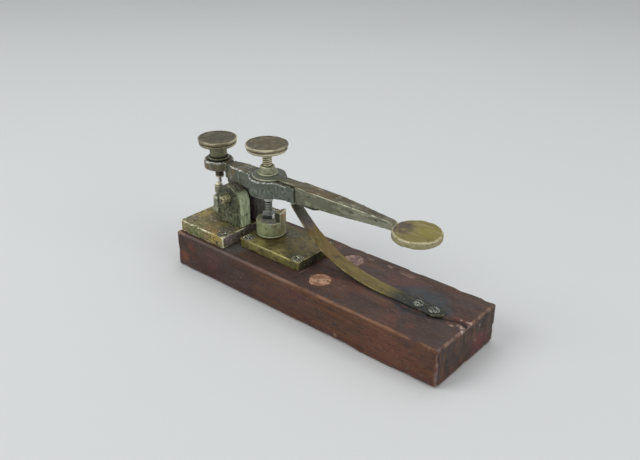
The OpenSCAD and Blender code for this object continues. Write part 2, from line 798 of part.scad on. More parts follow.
// Small screws that clamp the spring's short leaf to the arm
module spring_clamp_screws() {
  color(dark_steel) at_clamp_screws() {
    cylinder(h = clamp_grip + spring_t / 2, d = clamp_shank_d);
    translate([0, 0, -spring_t / 2 - seat_gap - clamp_head_h])
      cylinder(h = clamp_head_h, d = 1.8 * clamp_shank_d);
    translate([0, 0, -spring_t / 2 - seat_gap - 0.1])
      cylinder(h = spring_t, d = clamp_shank_d);
  }
}

// Plain round finger plate, slotted below for the arm's tongue
module finger_disc() {
  r = disc_d / 2;
  edge = 0.5;
  color(brass) arm_frame() translate([disc_x, 0, disc_low]) difference() {
    rotate_extrude() polygon([
      [0, 0], [r - edge, 0], [r, edge], [r, disc_t - edge], [r - edge, disc_t], [0, disc_t]
    ]);
    translate([-r - over, -arm_tip_w / 2 - 0.05, -over])
      cube([tongue_l + over + 0.2, arm_tip_w + 0.1, tongue_t + fixed_fit + over]);
    cylinder(h = disc_grip + fixed_fit, d = disc_shank_d + 2 * fixed_fit);
  }
}

module disc_screw() {
  color(grey_metal) arm_frame() translate([disc_x, 0, disc_low])
    machine_screw(disc_head_d, disc_shank_d, disc_grip);
}

rod_peg_d = rod_d * 0.55;
rod_peg_l = 4;

// Outline of a thumbscrew's head from its stem up: two rims and a groove
function head_profile(r, t, low, stem_r) = [
  [stem_r, low], [r - 1.1, low], [r - 0.5, low + 0.16 * t], [r - 0.5, low + 0.36 * t],
  [r - 1.2, low + 0.44 * t], [r - 1.2, low + 0.58 * t], [r - 0.2, low + 0.66 * t],
  [r, low + 0.72 * t], [r, low + t - 0.4], [r - 0.4, low + t], [r - 1.3, low + t],
  [r - 1.6, low + t - 0.25], [0, low + t - 0.25]
];

// Thumbscrew that sets the working contact
module front_thumbscrew() {
  r = front_shank_d / 2;
  low = casting_top + front_head_up - front_head_t;
  color(brass) translate([contact_x, line_y, 0]) difference() {
    rotate_extrude() polygon(concat(
      [[0, shank_low], [r - 0.5, shank_low], [r, shank_low + 0.5], [r, low - 1.2]],
      head_profile(front_head_d / 2, front_head_t, low, r + 0.8)
    ));
    translate([0, 0, shank_low - over])
      cylinder(h = rod_peg_l + over + fixed_fit, d = rod_peg_d + 2 * fixed_fit);
  }
}

// Hard rod in the end of the front thumbscrew, with an eased tip
module contact_rod() {
  tip = block_top + contact_gap;
  r = rod_d / 2;
  color("silver") translate([contact_x, line_y, 0]) rotate_extrude() polygon([
    [0, tip], [1, tip], [r, tip + 0.6], [r, shank_low - fixed_fit],
    [rod_peg_d / 2, shank_low - fixed_fit], [rod_peg_d / 2, shank_low + rod_peg_l],
    [0, shank_low + rod_peg_l]
  ]);
}

// Bell-shaped nut that locks the front thumbscrew and clamps the strap
module lock_nut() {
  bore = front_shank_d / 2 + run_fit;
  r = nut_d / 2;
  color(brass) translate([contact_x, line_y, strap_top + seat_gap])
    rotate_extrude() polygon([
      [bore, 0], [r, 0], [r, 0.7], [r - 0.8, 1.1], [r - 1.1, nut_h * 0.45],
      [bore + 1.3, nut_h - 0.5], [bore + 0.9, nut_h], [bore, nut_h]
    ]);
}

// Thumbscrew that sets the back stop, with a thick stem and a flat end
module rear_thumbscrew() {
  r = rear_shank_d / 2;
  low = casting_top + rear_head_up - rear_head_t;
  tip = casting_top - rear_screw_l;
  stem_low = casting_top + lock_ring_t + 2 * seat_gap;
  stem_r = rear_stem_d / 2;
  color(brass) translate([stop_x, line_y, 0]) difference() {
    rotate_extrude() polygon(concat(
      [[0, tip], [r - 0.4, tip], [r, tip + 0.4], [r, stem_low],
       [stem_r, stem_low], [stem_r, low - 1.4], [stem_r - 0.5, low]],
      head_profile(rear_head_d / 2, rear_head_t, low, stem_r - 0.4)
    ));
    translate([0, 0, tip - over])
      cylinder(h = 3 + over + fixed_fit, d = stop_pin_d + 2 * fixed_fit);
  }
}

// Thin pin in the end of the rear thumbscrew that meets the bead
module stop_pin() {
  color("silver") translate([stop_x, line_y, stop_z])
    cylinder(h = stop_pin_l + 3, d = stop_pin_d);
}

// Thin ring that locks the rear thumbscrew
module lock_ring() {
  r = lock_ring_d / 2;
  bore = rear_shank_d / 2 + run_fit;
  color(brass) translate([stop_x, line_y, casting_top + seat_gap])
    rotate_extrude() polygon([
      [bore, 0], [r - 0.3, 0], [r, 0.3], [r, lock_ring_t - 0.3], [r - 0.3, lock_ring_t],
      [bore, lock_ring_t]
    ]);
}

base_board();
near_plug();
far_plug();
rear_plate();
rear_plate_screws();
front_plate();
front_plate_screws();
near_cheek();
far_cheek();
cheek_screws();
pivot_pin();
stop_post();
stop_bead();
contact_pillar();
pillar_screw();
contact_block();
leaf_spring();
spring_foot_screws();
lever_casting();
lever_arm();
spring_clamp_screws();
finger_disc();
disc_screw();
front_thumbscrew();
contact_rod();
lock_nut();
rear_thumbscrew();
stop_pin();
lock_ring();
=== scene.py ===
"""Dresses the telegraph key: a worn mahogany board, aged brass plates, an arched bearing, a grey
lever casting with its brass arm and finger disc, turned thumbscrews and a leaf return spring."""

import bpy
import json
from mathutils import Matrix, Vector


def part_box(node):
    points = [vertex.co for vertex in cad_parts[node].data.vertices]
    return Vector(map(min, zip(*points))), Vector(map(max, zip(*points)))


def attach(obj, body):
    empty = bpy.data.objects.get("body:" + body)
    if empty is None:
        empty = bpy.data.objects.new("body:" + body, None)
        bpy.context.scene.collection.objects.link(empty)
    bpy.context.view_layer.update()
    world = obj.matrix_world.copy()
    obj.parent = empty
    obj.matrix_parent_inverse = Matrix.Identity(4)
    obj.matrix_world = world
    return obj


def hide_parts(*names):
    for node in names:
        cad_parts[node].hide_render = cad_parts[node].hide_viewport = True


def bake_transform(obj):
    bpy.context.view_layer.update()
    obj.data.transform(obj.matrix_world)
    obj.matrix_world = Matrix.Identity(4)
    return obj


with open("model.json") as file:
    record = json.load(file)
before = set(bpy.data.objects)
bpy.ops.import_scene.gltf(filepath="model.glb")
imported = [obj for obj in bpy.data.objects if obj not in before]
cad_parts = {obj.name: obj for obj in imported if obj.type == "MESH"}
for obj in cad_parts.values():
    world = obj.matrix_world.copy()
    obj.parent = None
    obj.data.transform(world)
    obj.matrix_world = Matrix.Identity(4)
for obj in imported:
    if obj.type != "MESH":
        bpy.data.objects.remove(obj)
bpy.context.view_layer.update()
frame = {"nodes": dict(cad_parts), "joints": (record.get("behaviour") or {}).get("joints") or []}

import functools
import itertools
import json
import logging
import math
from dataclasses import dataclass, field
from enum import Enum

import bmesh
import bpy
import numpy as np
from mathutils import Matrix, Vector

log = logging.getLogger("telegraph_key")
MM = 0.001
TINY = 1e-6
LEAST_EDGE = 1e-4
SEED_STEP = (7.3, 3.1, 5.7)
ROUNDING_STEPS = (0, 0.33, 0.67, 1)
ROUNDING_SHARE = 0.45
Point = tuple[float, float, float]
Path = tuple[tuple[float, float], ...]
Outline = list[tuple[float, float]]
Material = bpy.types.Material
Socket = bpy.types.NodeSocket


class Axis(Enum):
    """The three directions of the key's frame."""

    X = 0
    Y = 1
    Z = 2


class Body(Enum):
    """The parts that move as one."""

    BASE = "base"
    LEVER = "lever"
    WORKING_SCREW = "working_screw"
    LOCKING_NUT = "locking_nut"
    STOP_SCREW = "stop_screw"
    LOCKING_RING = "locking_ring"


class Note(Enum):
    """What a mesh records at each point for its finish to read."""

    WEAR = "wear"
    # Dirt, and painted shade in recesses, at feet and where parts meet.
    DIRT_AND_SHADE = "dirt_and_shade"
    # Chipped and scratched wood on the board, and painted highlights on the metal pieces.
    CHIP_AND_HIGHLIGHT = "chip_and_highlight"


def edge_of(node: str, axis: Axis = Axis.Z, side: int = 1) -> float:
    """Gives where a CAD node starts (side 0) or ends (side 1) along an axis, in millimetres."""
    return round(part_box(node)[side][axis.value] / MM, 2)


def joint_place(name: str) -> Point:
    """Gives the place of one of the frame's joints, in millimetres."""
    joint = next(joint for joint in frame["joints"] if joint["name"] == name)
    return tuple(round(value / MM, 2) for value in joint["pos_m"])


BOARD_TOP = edge_of("base_board")
BOARD_SIDE = edge_of("base_board", Axis.Y, 0)
BOARD_END = edge_of("base_board", Axis.X)
REAR_TOP = edge_of("rear_plate")
REAR_SIDE = edge_of("rear_plate", Axis.Y, 0)
REAR_END = edge_of("rear_plate", Axis.X)
FRONT_TOP = edge_of("front_plate")
STRAP_TOP = edge_of("lever_arm")
PIVOT = joint_place("lever_pivot")
BACK_STOP = joint_place("stop_screw_turn")
CONTACT = joint_place("working_screw_turn")


@dataclass(frozen=True)
class Spot:
    """A coloured patch at its own place, in millimetres."""

    colour: str
    centre: Point
    inner: float
    outer: float
    amount: float = 0.85
    axis: Axis | None = None


@dataclass(frozen=True)
class Shade:
    """Another colour on the faces that look one way along an axis."""

    colour: str
    axis: Axis
    side: int = 1
    amount: float = 0.95


def linear(hex_colour: str) -> tuple[float, float, float, float]:
    """Turns an sRGB colour to the linear one that a shader takes.

    Args:
        hex_colour: The colour as "#rrggbb".

    Returns:
        Linear red, green, blue and an alpha of 1.
    """
    parts = [int(hex_colour[i:i + 2], 16) / 255 for i in (1, 3, 5)]
    red, green, blue = (p / 12.92 if p <= 0.04045 else ((p + 0.055) / 1.055) ** 2.4 for p in parts)
    return red, green, blue, 1.0


def add_node(tree: bpy.types.NodeTree, kind: str, inputs: dict | None = None,
             **settings: object) -> bpy.types.Node:
    """Adds a node with its settings and links.

    Args:
        tree: The tree that gets the node.
        kind: The node's type.
        inputs: Values or output sockets, by the input's name or number.
        **settings: The node's own properties.

    Returns:
        The new node.
    """
    node = tree.nodes.new(kind)
    for name, value in settings.items():
        setattr(node, name, value)
    for key, value in (inputs or {}).items():
        if isinstance(value, Socket):
            tree.links.new(value, node.inputs[key])
        else:
            node.inputs[key].default_value = value
    return node


class Skin:
    """One surface, built up from a ground colour in coats that masks lay on it.

    A mask goes from 0, at low, to its amount, at high.
    """

    def __init__(self, name: str, ground: str, roughness: float, metallic: float = 0.0) -> None:
        """Starts the surface.

        Args:
            name: The material's name.
            ground: The ground colour, as sRGB hex.
            roughness: The roughness where nothing is laid on.
            metallic: How much of the ground is bare metal.
        """
        self.material = bpy.data.materials.new(name)
        self.material.use_nodes = True
        self.tree = self.material.node_tree
        self.tree.nodes.clear()
        self.shader = add_node(self.tree, "ShaderNodeBsdfPrincipled",
                               {"Base Color": linear(ground), "Roughness": roughness,
                                "Metallic": metallic})
        add_node(self.tree, "ShaderNodeOutputMaterial", {"Surface": self.shader.outputs[0]})
        where = add_node(self.tree, "ShaderNodeTexCoord")
        self.place = where.outputs["Object"]
        self.normal = where.outputs["Normal"]

    def mask(self, value: Socket, low: float, high: float, amount: float = 1.0) -> Socket:
        """Turns a value to a mask, in a soft step."""
        return add_node(self.tree, "ShaderNodeMapRange",
                        {"Value": value, "From Min": low, "From Max": high, "To Max": amount},
                        interpolation_type="SMOOTHSTEP").outputs["Result"]

    def mottle(self, size: float, low: float, high: float, amount: float = 1.0,
               detail: float = 3.0, seed: float = 0.0, stretch: Point = (1, 1, 1)) -> Socket:
        """Makes a mask of soft patches.

        Args:
            size: The patches' size in millimetres.
            low: The level where a patch starts.
            high: The level where a patch is full.
            amount: The mask's full strength.
            detail: How ragged the patches are.
            seed: Moves the pattern.
            stretch: How much longer the patches are along each axis.

        Returns:
            The mask.
        """
        scale = tuple(1 / (MM * size * s) for s in stretch)
        shift = tuple(step * seed for step in SEED_STEP)
        place = add_node(self.tree, "ShaderNodeVectorMath", {0: self.place, 1: scale, 2: shift},
                         operation="MULTIPLY_ADD")
        noise = add_node(self.tree, "ShaderNodeTexNoise",
                         {"Vector": place.outputs[0], "Scale": 1.0, "Detail": detail})
        return self.mask(noise.outputs[0], low, high, amount)

    def noted(self, note: Note, low: float, high: float, amount: float = 1.0) -> Socket:
        """Makes a mask of what the mesh records at each point."""
        record = add_node(self.tree, "ShaderNodeAttribute", attribute_name=note.value)
        return self.mask(record.outputs["Fac"], low, high, amount)

    def facing(self, axis: Axis, low: float, high: float, amount: float = 1.0) -> Socket:
        """Makes a mask of the faces that look along an axis, from one cosine to another."""
        parts = add_node(self.tree, "ShaderNodeSeparateXYZ", {0: self.normal})
        return self.mask(parts.outputs[axis.value], low, high, amount)

    def between(self, axis: Axis, low: float, high: float, amount: float = 1.0) -> Socket:
        """Makes a mask that grows along an axis, from one place in millimetres to another."""
        parts = add_node(self.tree, "ShaderNodeSeparateXYZ", {0: self.place})
        return self.mask(parts.outputs[axis.value], low * MM, high * MM, amount)

    def around(self, centre: Point, inner: float, outer: float, amount: float = 1.0) -> Socket:
        """Makes a mask of a round patch, full within one radius and ended at another."""
        away = add_node(self.tree, "ShaderNodeVectorMath",
                        {0: self.place, 1: tuple(c * MM for c in centre)}, operation="DISTANCE")
        return self.mask(away.outputs["Value"], outer * MM, inner * MM, amount)

    def both(self, one: Socket, other: Socket) -> Socket:
        """Joins two masks where both hold."""
        return add_node(self.tree, "ShaderNodeMath", {0: one, 1: other},
                        operation="MULTIPLY").outputs[0]

    def either(self, one: Socket, other: Socket) -> Socket:
        """Joins two masks where either holds."""
        return add_node(self.tree, "ShaderNodeMath", {0: one, 1: other},
                        operation="MAXIMUM").outputs[0]

    def lay(self, socket: str, value: object, masks: tuple[Socket, ...]) -> None:
        """Lays a new value on one of the shader's sockets.

        Args:
            socket: The shader's socket.
            value: The new colour or number.
            masks: It goes where all of these hold.
        """
        target = self.shader.inputs[socket]
        before = target.links[0].from_socket if target.is_linked else target.default_value
        colour = socket == "Base Color"
        # A mix node has its own sockets for colours and for numbers.
        first, second, result = (6, 7, 2) if colour else (2, 3, 0)
        node = add_node(self.tree, "ShaderNodeMix",
                        {0: functools.reduce(self.both, masks), first: before, second: value},
                        data_type="RGBA" if colour else "FLOAT")
        self.tree.links.new(node.outputs[result], target)

    def coat(self, colour: str, *masks: Socket) -> None:
        """Lays an sRGB hex colour on where all the masks hold."""
        self.lay("Base Color", linear(colour), masks)

    def polish(self, roughness: float, *masks: Socket) -> None:
        """Sets the roughness where all the masks hold."""
        self.lay("Roughness", roughness, masks)

    def bare(self, metallic: float, *masks: Socket) -> None:
        """Sets how much bare metal shows where all the masks hold."""
        self.lay("Metallic", metallic, masks)

    def spot(self, spot: Spot) -> None:
        """Lays on a patch with a ragged border.

        Args:
            spot: The patch, which may keep to the faces along one axis.
        """
        ragged = self.mottle(0.35 * spot.outer, 0.3, 0.5, 1, 5, spot.inner)
        patch = self.both(self.around(spot.centre, spot.inner, spot.outer, spot.amount), ragged)
        if spot.axis:
            patch = self.both(patch, self.facing(spot.axis, 0.5, 0.8))
        self.coat(spot.colour, patch)

    def shade(self, shade: Shade) -> None:
        """Colours the faces that look one way."""
        self.coat(shade.colour, self.facing(shade.axis, 0.6 * shade.side, 0.9 * shade.side,
                                            shade.amount))

    def emboss(self, height: Socket, depth: float, strength: float = 1.0) -> None:
        """Raises the surface by a mask.

        Args:
            height: The mask.
            depth: The height at its full strength, in millimetres.
            strength: How much of that shows.
        """
        target = self.shader.inputs["Normal"]
        inputs = {"Height": height, "Distance": depth * MM, "Strength": strength}
        if target.is_linked:
            inputs["Normal"] = target.links[0].from_socket
        bump = add_node(self.tree, "ShaderNodeBump", inputs)
        self.tree.links.new(bump.outputs[0], target)


@dataclass(frozen=True)
class OldMahogany:
    """Sawn and planed mahogany, waxed long ago and worn by the hand.

    The eye sees a dark red-brown with long dark pores, duller on the top, a darker wet stain at
    the front, pale tan or grey wood where the edges have lost their finish, partly a painted edge
    highlight, the split dark with dirt and painted shade, and a painted shadow along the spring.
    """

    side: str = "#4e2d17"
    top: str = "#38251f"
    end: str = "#211713"
    streak: str = "#683c1c"
    red: str = "#532623"
    pore: str = "#241613"
    worn: str = "#865d40"
    bruised: str = "#93786b"
    grey: str = "#7c6a66"
    torn: str = "#cbbbad"
    grime_and_shadow: str = "#1d1512"
    spots: tuple[Spot, ...] = (
        Spot("#7a4527", (-87, BOARD_SIDE, 7), 1, 6),
        Spot("#6b3626", (-80, BOARD_SIDE, 16), 1, 5),
        Spot("#522a29", (-62, BOARD_SIDE, 13), 2, 10),
        Spot("#452b29", (-38, BOARD_SIDE, 6), 3, 14),
        Spot("#4d4c47", (-51, -18, BOARD_TOP), 4, 11, 0.9),
        Spot("#6a4a36", (-8, 21, BOARD_TOP), 2, 7),
        Spot("#583423", (22, -8, BOARD_TOP), 4, 16),
        Spot("#512923", (44, 15, BOARD_TOP), 4, 14, 0.7),
        Spot("#252e34", (57, 7, BOARD_TOP), 5, 11, 0.9),
        Spot("#252e34", (67, 9, BOARD_TOP), 4, 10, 0.9),
        Spot("#1e262b", (59, -7, BOARD_TOP), 3, 9, 0.95),
        Spot("#222a2f", (75, 3, BOARD_TOP), 4, 9, 0.9),
        Spot("#252e34", (48, 3, BOARD_TOP), 3, 8, 0.85),
        Spot("#1e262b", (71, -6, BOARD_TOP), 2, 7, 0.9),
        Spot("#6b3d2a", (66, BOARD_SIDE, 14), 6, 26, 0.7),
        Spot("#382822", (78, -16, BOARD_TOP), 6, 20, 0.8),
        Spot("#622b2c", (BOARD_END, 12, 5), 3, 12),
        Spot("#5b534c", (-88, 20, BOARD_TOP), 3, 12),
        Spot("#93705c", (31.2, BOARD_SIDE, 3.5), 0.4, 1.6),
        Spot("#93705c", (19.6, BOARD_SIDE, 1.3), 0.4, 1.6),
        Spot("#a08a7a", (BOARD_END, 11.1, 17.4), 0.3, 1.1),
        Spot("#a08a7a", (BOARD_END, 7.6, 10.3), 0.3, 1))

    def make(self) -> Material:
        """Makes the material.

        Returns:
            The material.
        """
        skin = Skin("old_mahogany", self.side, 0.56)
        skin.coat(self.streak, skin.mottle(3.4, 0.42, 0.66, 0.75, 3, 1, (14, 1, 1)))
        skin.coat(self.streak, skin.between(Axis.X, 10, 90, 0.45))
        skin.coat(self.red, skin.mottle(7, 0.5, 0.66, 0.75, 3, 2, (6, 1, 1)))
        skin.coat(self.red, skin.between(Axis.Z, 5, 1, 0.8),
                  skin.mottle(6, 0.3, 0.5, 1, 3, 12, (3, 1, 1)))
        skin.coat(self.pore, skin.facing(Axis.Y, -0.6, -0.95), skin.between(Axis.X, -5, -50, 0.6))
        top = skin.facing(Axis.Z, 0.6, 0.95)
        skin.coat(self.top, top, skin.mottle(12, 0.25, 0.5, 0.9, 3, 3, (4, 1, 1)))
        skin.coat(self.streak, top, skin.mottle(2.6, 0.5, 0.7, 0.5, 4, 4, (9, 1, 1)))
        end = skin.facing(Axis.X, 0.7, 0.95)
        skin.coat(self.end, end, skin.mottle(1.8, 0.3, 0.55, 0.9, 3, 5, (1, 1, 9)))
        skin.coat(self.streak, end, skin.mottle(7, 0.5, 0.7, 0.5, 4, 6))
        for spot in self.spots:
            skin.spot(spot)
        # Mahogany's pores are about 0.2 mm wide; they are drawn 0.5 mm wide so that they show.
        pores = skin.mottle(0.5, 0.54, 0.68, 0.75, 2, 7, (18, 1, 1))
        skin.coat(self.pore, pores)
        skin.coat(self.bruised, skin.mottle(1.3, 0.56, 0.7, 0.16, 4, 11, (2, 1, 1)))
        skin.coat(self.pore, skin.mottle(1.6, 0.54, 0.68, 0.55, 4, 13, (2, 1, 1)))
        # Rubbed edges of the board, partly a painted edge highlight.
        rubbed_and_highlight = skin.both(skin.mottle(4.5, 0.4, 0.6, 1, 4, 8, (3, 1, 1)),
                           skin.either(skin.between(Axis.X, -62, 10), skin.mottle(9, 0.5, 0.6)))
        skin.coat(self.worn, skin.noted(Note.WEAR, 0.3, 0.75, 0.8), rubbed_and_highlight)
        front = skin.both(skin.between(Axis.X, 91, 91.8, 0.75),
                          skin.mottle(3.2, 0.34, 0.6, 1, 4, 14))
        skin.coat(self.grey, skin.noted(Note.WEAR, 0.3, 0.75, 0.75),
                  skin.either(front, skin.between(Axis.X, 8, -6, 0.45)))
        skin.coat(self.bruised, skin.noted(Note.CHIP_AND_HIGHLIGHT, 0.1, 0.6, 0.9))
        skin.coat(self.torn, skin.noted(Note.CHIP_AND_HIGHLIGHT, 0.6, 1.0))
        # Dirt and painted shade in the split, and the spring's painted shadow on the top.
        skin.coat(self.grime_and_shadow, skin.noted(Note.DIRT_AND_SHADE, 0.1, 0.8, 0.95))
        skin.polish(0.75, skin.noted(Note.DIRT_AND_SHADE, 0.1, 0.6))
        skin.polish(0.7, skin.mottle(6, 0.45, 0.62, 1, 3, 9, (3, 1, 1)))
        skin.emboss(pores, -0.1, 0.6)
        skin.emboss(skin.mottle(0.9, 0.3, 0.7, 1, 3, 10, (8, 1, 1)), 0.06, 0.6)
        return skin.material


@dataclass(frozen=True)
class PaleEndGrain:
    """A turned wood plug sanded flush, end grain up.

    The eye sees raw pinkish wood, paler than the board, with fine pores and a scuffed rim.
    """

    name: str
    wood: str
    light: str
    dark: str = "#5d3c2e"

    def make(self) -> Material:
        """Makes the material.

        Returns:
            The material.
        """
        skin = Skin(self.name, self.wood, 0.7)
        skin.coat(self.light, skin.mottle(3.2, 0.42, 0.6, 0.9, 4, 1, (1.6, 1, 1)))
        skin.coat(self.dark, skin.mottle(1.8, 0.52, 0.66, 0.75, 4, 2, (1, 1.5, 1)))
        # End grain pores are under 0.2 mm across; they are drawn 0.4 mm across so that they show.
        pores = skin.mottle(0.4, 0.6, 0.7, 0.6, 2, 3)
        skin.coat(self.dark, pores)
        skin.emboss(pores, -0.08)
        return skin.material


@dataclass(frozen=True)
class AgedBrass:
    """Brass left unpolished for a lifetime.

    The eye sees dull olive-brown metal, blotched where fingers and damp met it, with pale
    yellow metal at the edges that are still rubbed, laid on wider as a painted edge highlight,
    and dark dirt and painted shade in the corners and where parts meet.
    """

    name: str
    ground: str
    blotch: str
    stain: str
    rubbed_and_highlight: str
    hollow_and_shade: str = "#26241a"
    shades: tuple[Shade, ...] = ()
    spots: tuple[Spot, ...] = ()
    roughness: float = 0.52
    metallic: float = 0.3
    patch: float = 7.0
    lay: Point = (1, 1, 1)
    scuff: float = 8.0
    fleck: float = 0.5
    pitted: float = 0.57
    seed: float = 0.0

    def bloom(self, skin: Skin) -> None:
        """Lays on what has grown on the metal: nothing, on plain brass."""

    def make(self) -> Material:
        """Makes the material.

        Returns:
            The material.
        """
        skin = Skin(self.name, self.ground, self.roughness, self.metallic)
        for shade in self.shades:
            skin.shade(shade)
        skin.coat(self.blotch, skin.mottle(self.patch, 0.44, 0.6, 0.7, 5, self.seed + 1, self.lay))
        for spot in self.spots:
            skin.spot(spot)
        light = skin.mottle(1.9, 0.5, 0.72, self.fleck, 4, self.seed + 6, self.lay)
        skin.coat(self.rubbed_and_highlight, light)
        stains = skin.mottle(self.patch * 0.5, 0.54, 0.66, 0.75, 5, self.seed + 2, self.lay)
        skin.coat(self.stain, stains)
        # Corrosion pits are tenths of a millimetre wide; the largest ones are drawn.
        pits = skin.mottle(1.1, self.pitted, self.pitted + 0.11, 0.8, 3, self.seed + 3)
        skin.coat(self.hollow_and_shade, pits)
        self.bloom(skin)
        skin.coat(self.hollow_and_shade, skin.noted(Note.WEAR, -0.3, -1.0, 0.85))
        # Rubbed edges, laid brighter and wider than wear alone as a painted edge highlight.
        scuffed = skin.mottle(self.scuff, 0.4, 0.56, 1, 5, self.seed + 4)
        edge = skin.both(skin.noted(Note.WEAR, 0.3, 0.8), scuffed)
        skin.coat(self.rubbed_and_highlight, edge)
        skin.coat(self.rubbed_and_highlight, skin.noted(Note.CHIP_AND_HIGHLIGHT, 0.1, 0.8))
        # Dirt, and painted shade where a piece darkens a recess or its foot.
        skin.coat(self.hollow_and_shade, skin.noted(Note.DIRT_AND_SHADE, 0.1, 0.8, 0.95))
        skin.polish(0.66, stains)
        skin.polish(0.4, edge)
        skin.bare(0.15, stains)
        skin.emboss(pits, -0.06)
        skin.emboss(skin.mottle(0.7, 0.35, 0.65, 1, 2, self.seed + 5), 0.02)
        return skin.material


@dataclass(frozen=True)
class GreenedBrass(AgedBrass):
    """Cast brass with verdigris on the faces that the hand does not reach.

    The eye sees dark pitted brown, and a pale, dry grey-green on the faces that look one way.
    """

    green: str = "#c9d4ae"
    streak: str = "#8b9772"
    axis: Axis = Axis.X
    start: float = 0.45
    end: float = 0.85
    amount: float = 0.95
    bare_from: float = 0.22

    def bloom(self, skin: Skin) -> None:
        """Lays the verdigris on the faces that look along its axis.

        Args:
            skin: The brass below it.
        """
        dry = skin.both(skin.facing(self.axis, self.start, self.end, self.amount),
                        skin.mottle(4, self.bare_from, self.bare_from + 0.2, 1, 4, 11, (1, 1, 2.5)))
        skin.coat(self.green, dry)
        skin.coat(self.streak, dry, skin.mottle(2, 0.46, 0.62, 0.8, 4, 12, (1, 1, 3.5)))
        skin.polish(0.72, dry)
        skin.bare(0.1, dry)


@dataclass(frozen=True)
class SpringBrass:
    """Hard rolled brass strip, bent to shape.

    The eye sees a purple-brown oxide near the bend, olive gold along the leaf, a painted highlight
    at the bend, a short end painted pale as light in the arm's shade, and a nearly black foot where
    the board's damp reached it.
    """

    gold: str = "#635328"
    orange: str = "#6f5830"
    bend: str = "#4a4a40"
    oxide: str = "#5c5352"
    foot: str = "#2b2d28"
    streak: str = "#7c6f39"
    rubbed_and_highlight: str = "#958a62"
    painted_light_short_end: str = "#b9bba8"
    pale: str = "#c6c8b6"

    def make(self) -> Material:
        """Makes the material.

        Returns:
            The material.
        """
        skin = Skin("rolled_spring_brass", self.gold, 0.5, 0.4)
        skin.coat(self.streak, skin.mottle(2.6, 0.45, 0.64, 0.6, 4, 1, (7, 1, 1)))
        skin.coat(self.orange, skin.between(Axis.X, 16, 4, 0.75),
                  skin.mottle(6, 0.36, 0.54, 1, 4, 2, (2, 1, 1)))
        skin.coat(self.bend, skin.between(Axis.X, -8, -13, 0.9))
        skin.spot(Spot(self.oxide, (-12.2, 1, 43), 2, 6, 0.8))
        # Painted light: the short end under the arm is coloured pale so that it reads lit in the
        # arm's shade.
        skin.coat(self.painted_light_short_end, skin.between(Axis.Z, 53.4, 53.9), skin.between(Axis.X, -18.5, -17))
        dark = skin.both(skin.between(Axis.X, 42, 54),
                         skin.mottle(6, 0.25, 0.4, 1, 4, 3, (2, 1, 1)))
        skin.coat(self.foot, dark)
        skin.coat(self.foot, skin.mottle(1.2, 0.58, 0.7, 0.2, 4, 5, (2, 1, 1)))
        skin.coat(self.rubbed_and_highlight, skin.mottle(1.5, 0.56, 0.74, 0.35, 4, 6, (3, 1, 1)))
        # Rubbed edges, partly a painted edge highlight.
        skin.coat(self.rubbed_and_highlight, skin.noted(Note.WEAR, 0.3, 0.8, 0.75),
                  skin.mottle(5, 0.46, 0.6, 1, 4, 7))
        skin.coat(self.foot, skin.noted(Note.DIRT_AND_SHADE, 0.1, 0.8))
        # A painted highlight along the bend's near edge.
        skin.coat(self.pale, skin.noted(Note.CHIP_AND_HIGHLIGHT, 0.1, 0.7))
        skin.polish(0.7, dark)
        skin.bare(0.2, dark)
        skin.emboss(skin.mottle(0.8, 0.35, 0.7, 1, 3, 4, (5, 1, 1)), 0.02)
        return skin.material


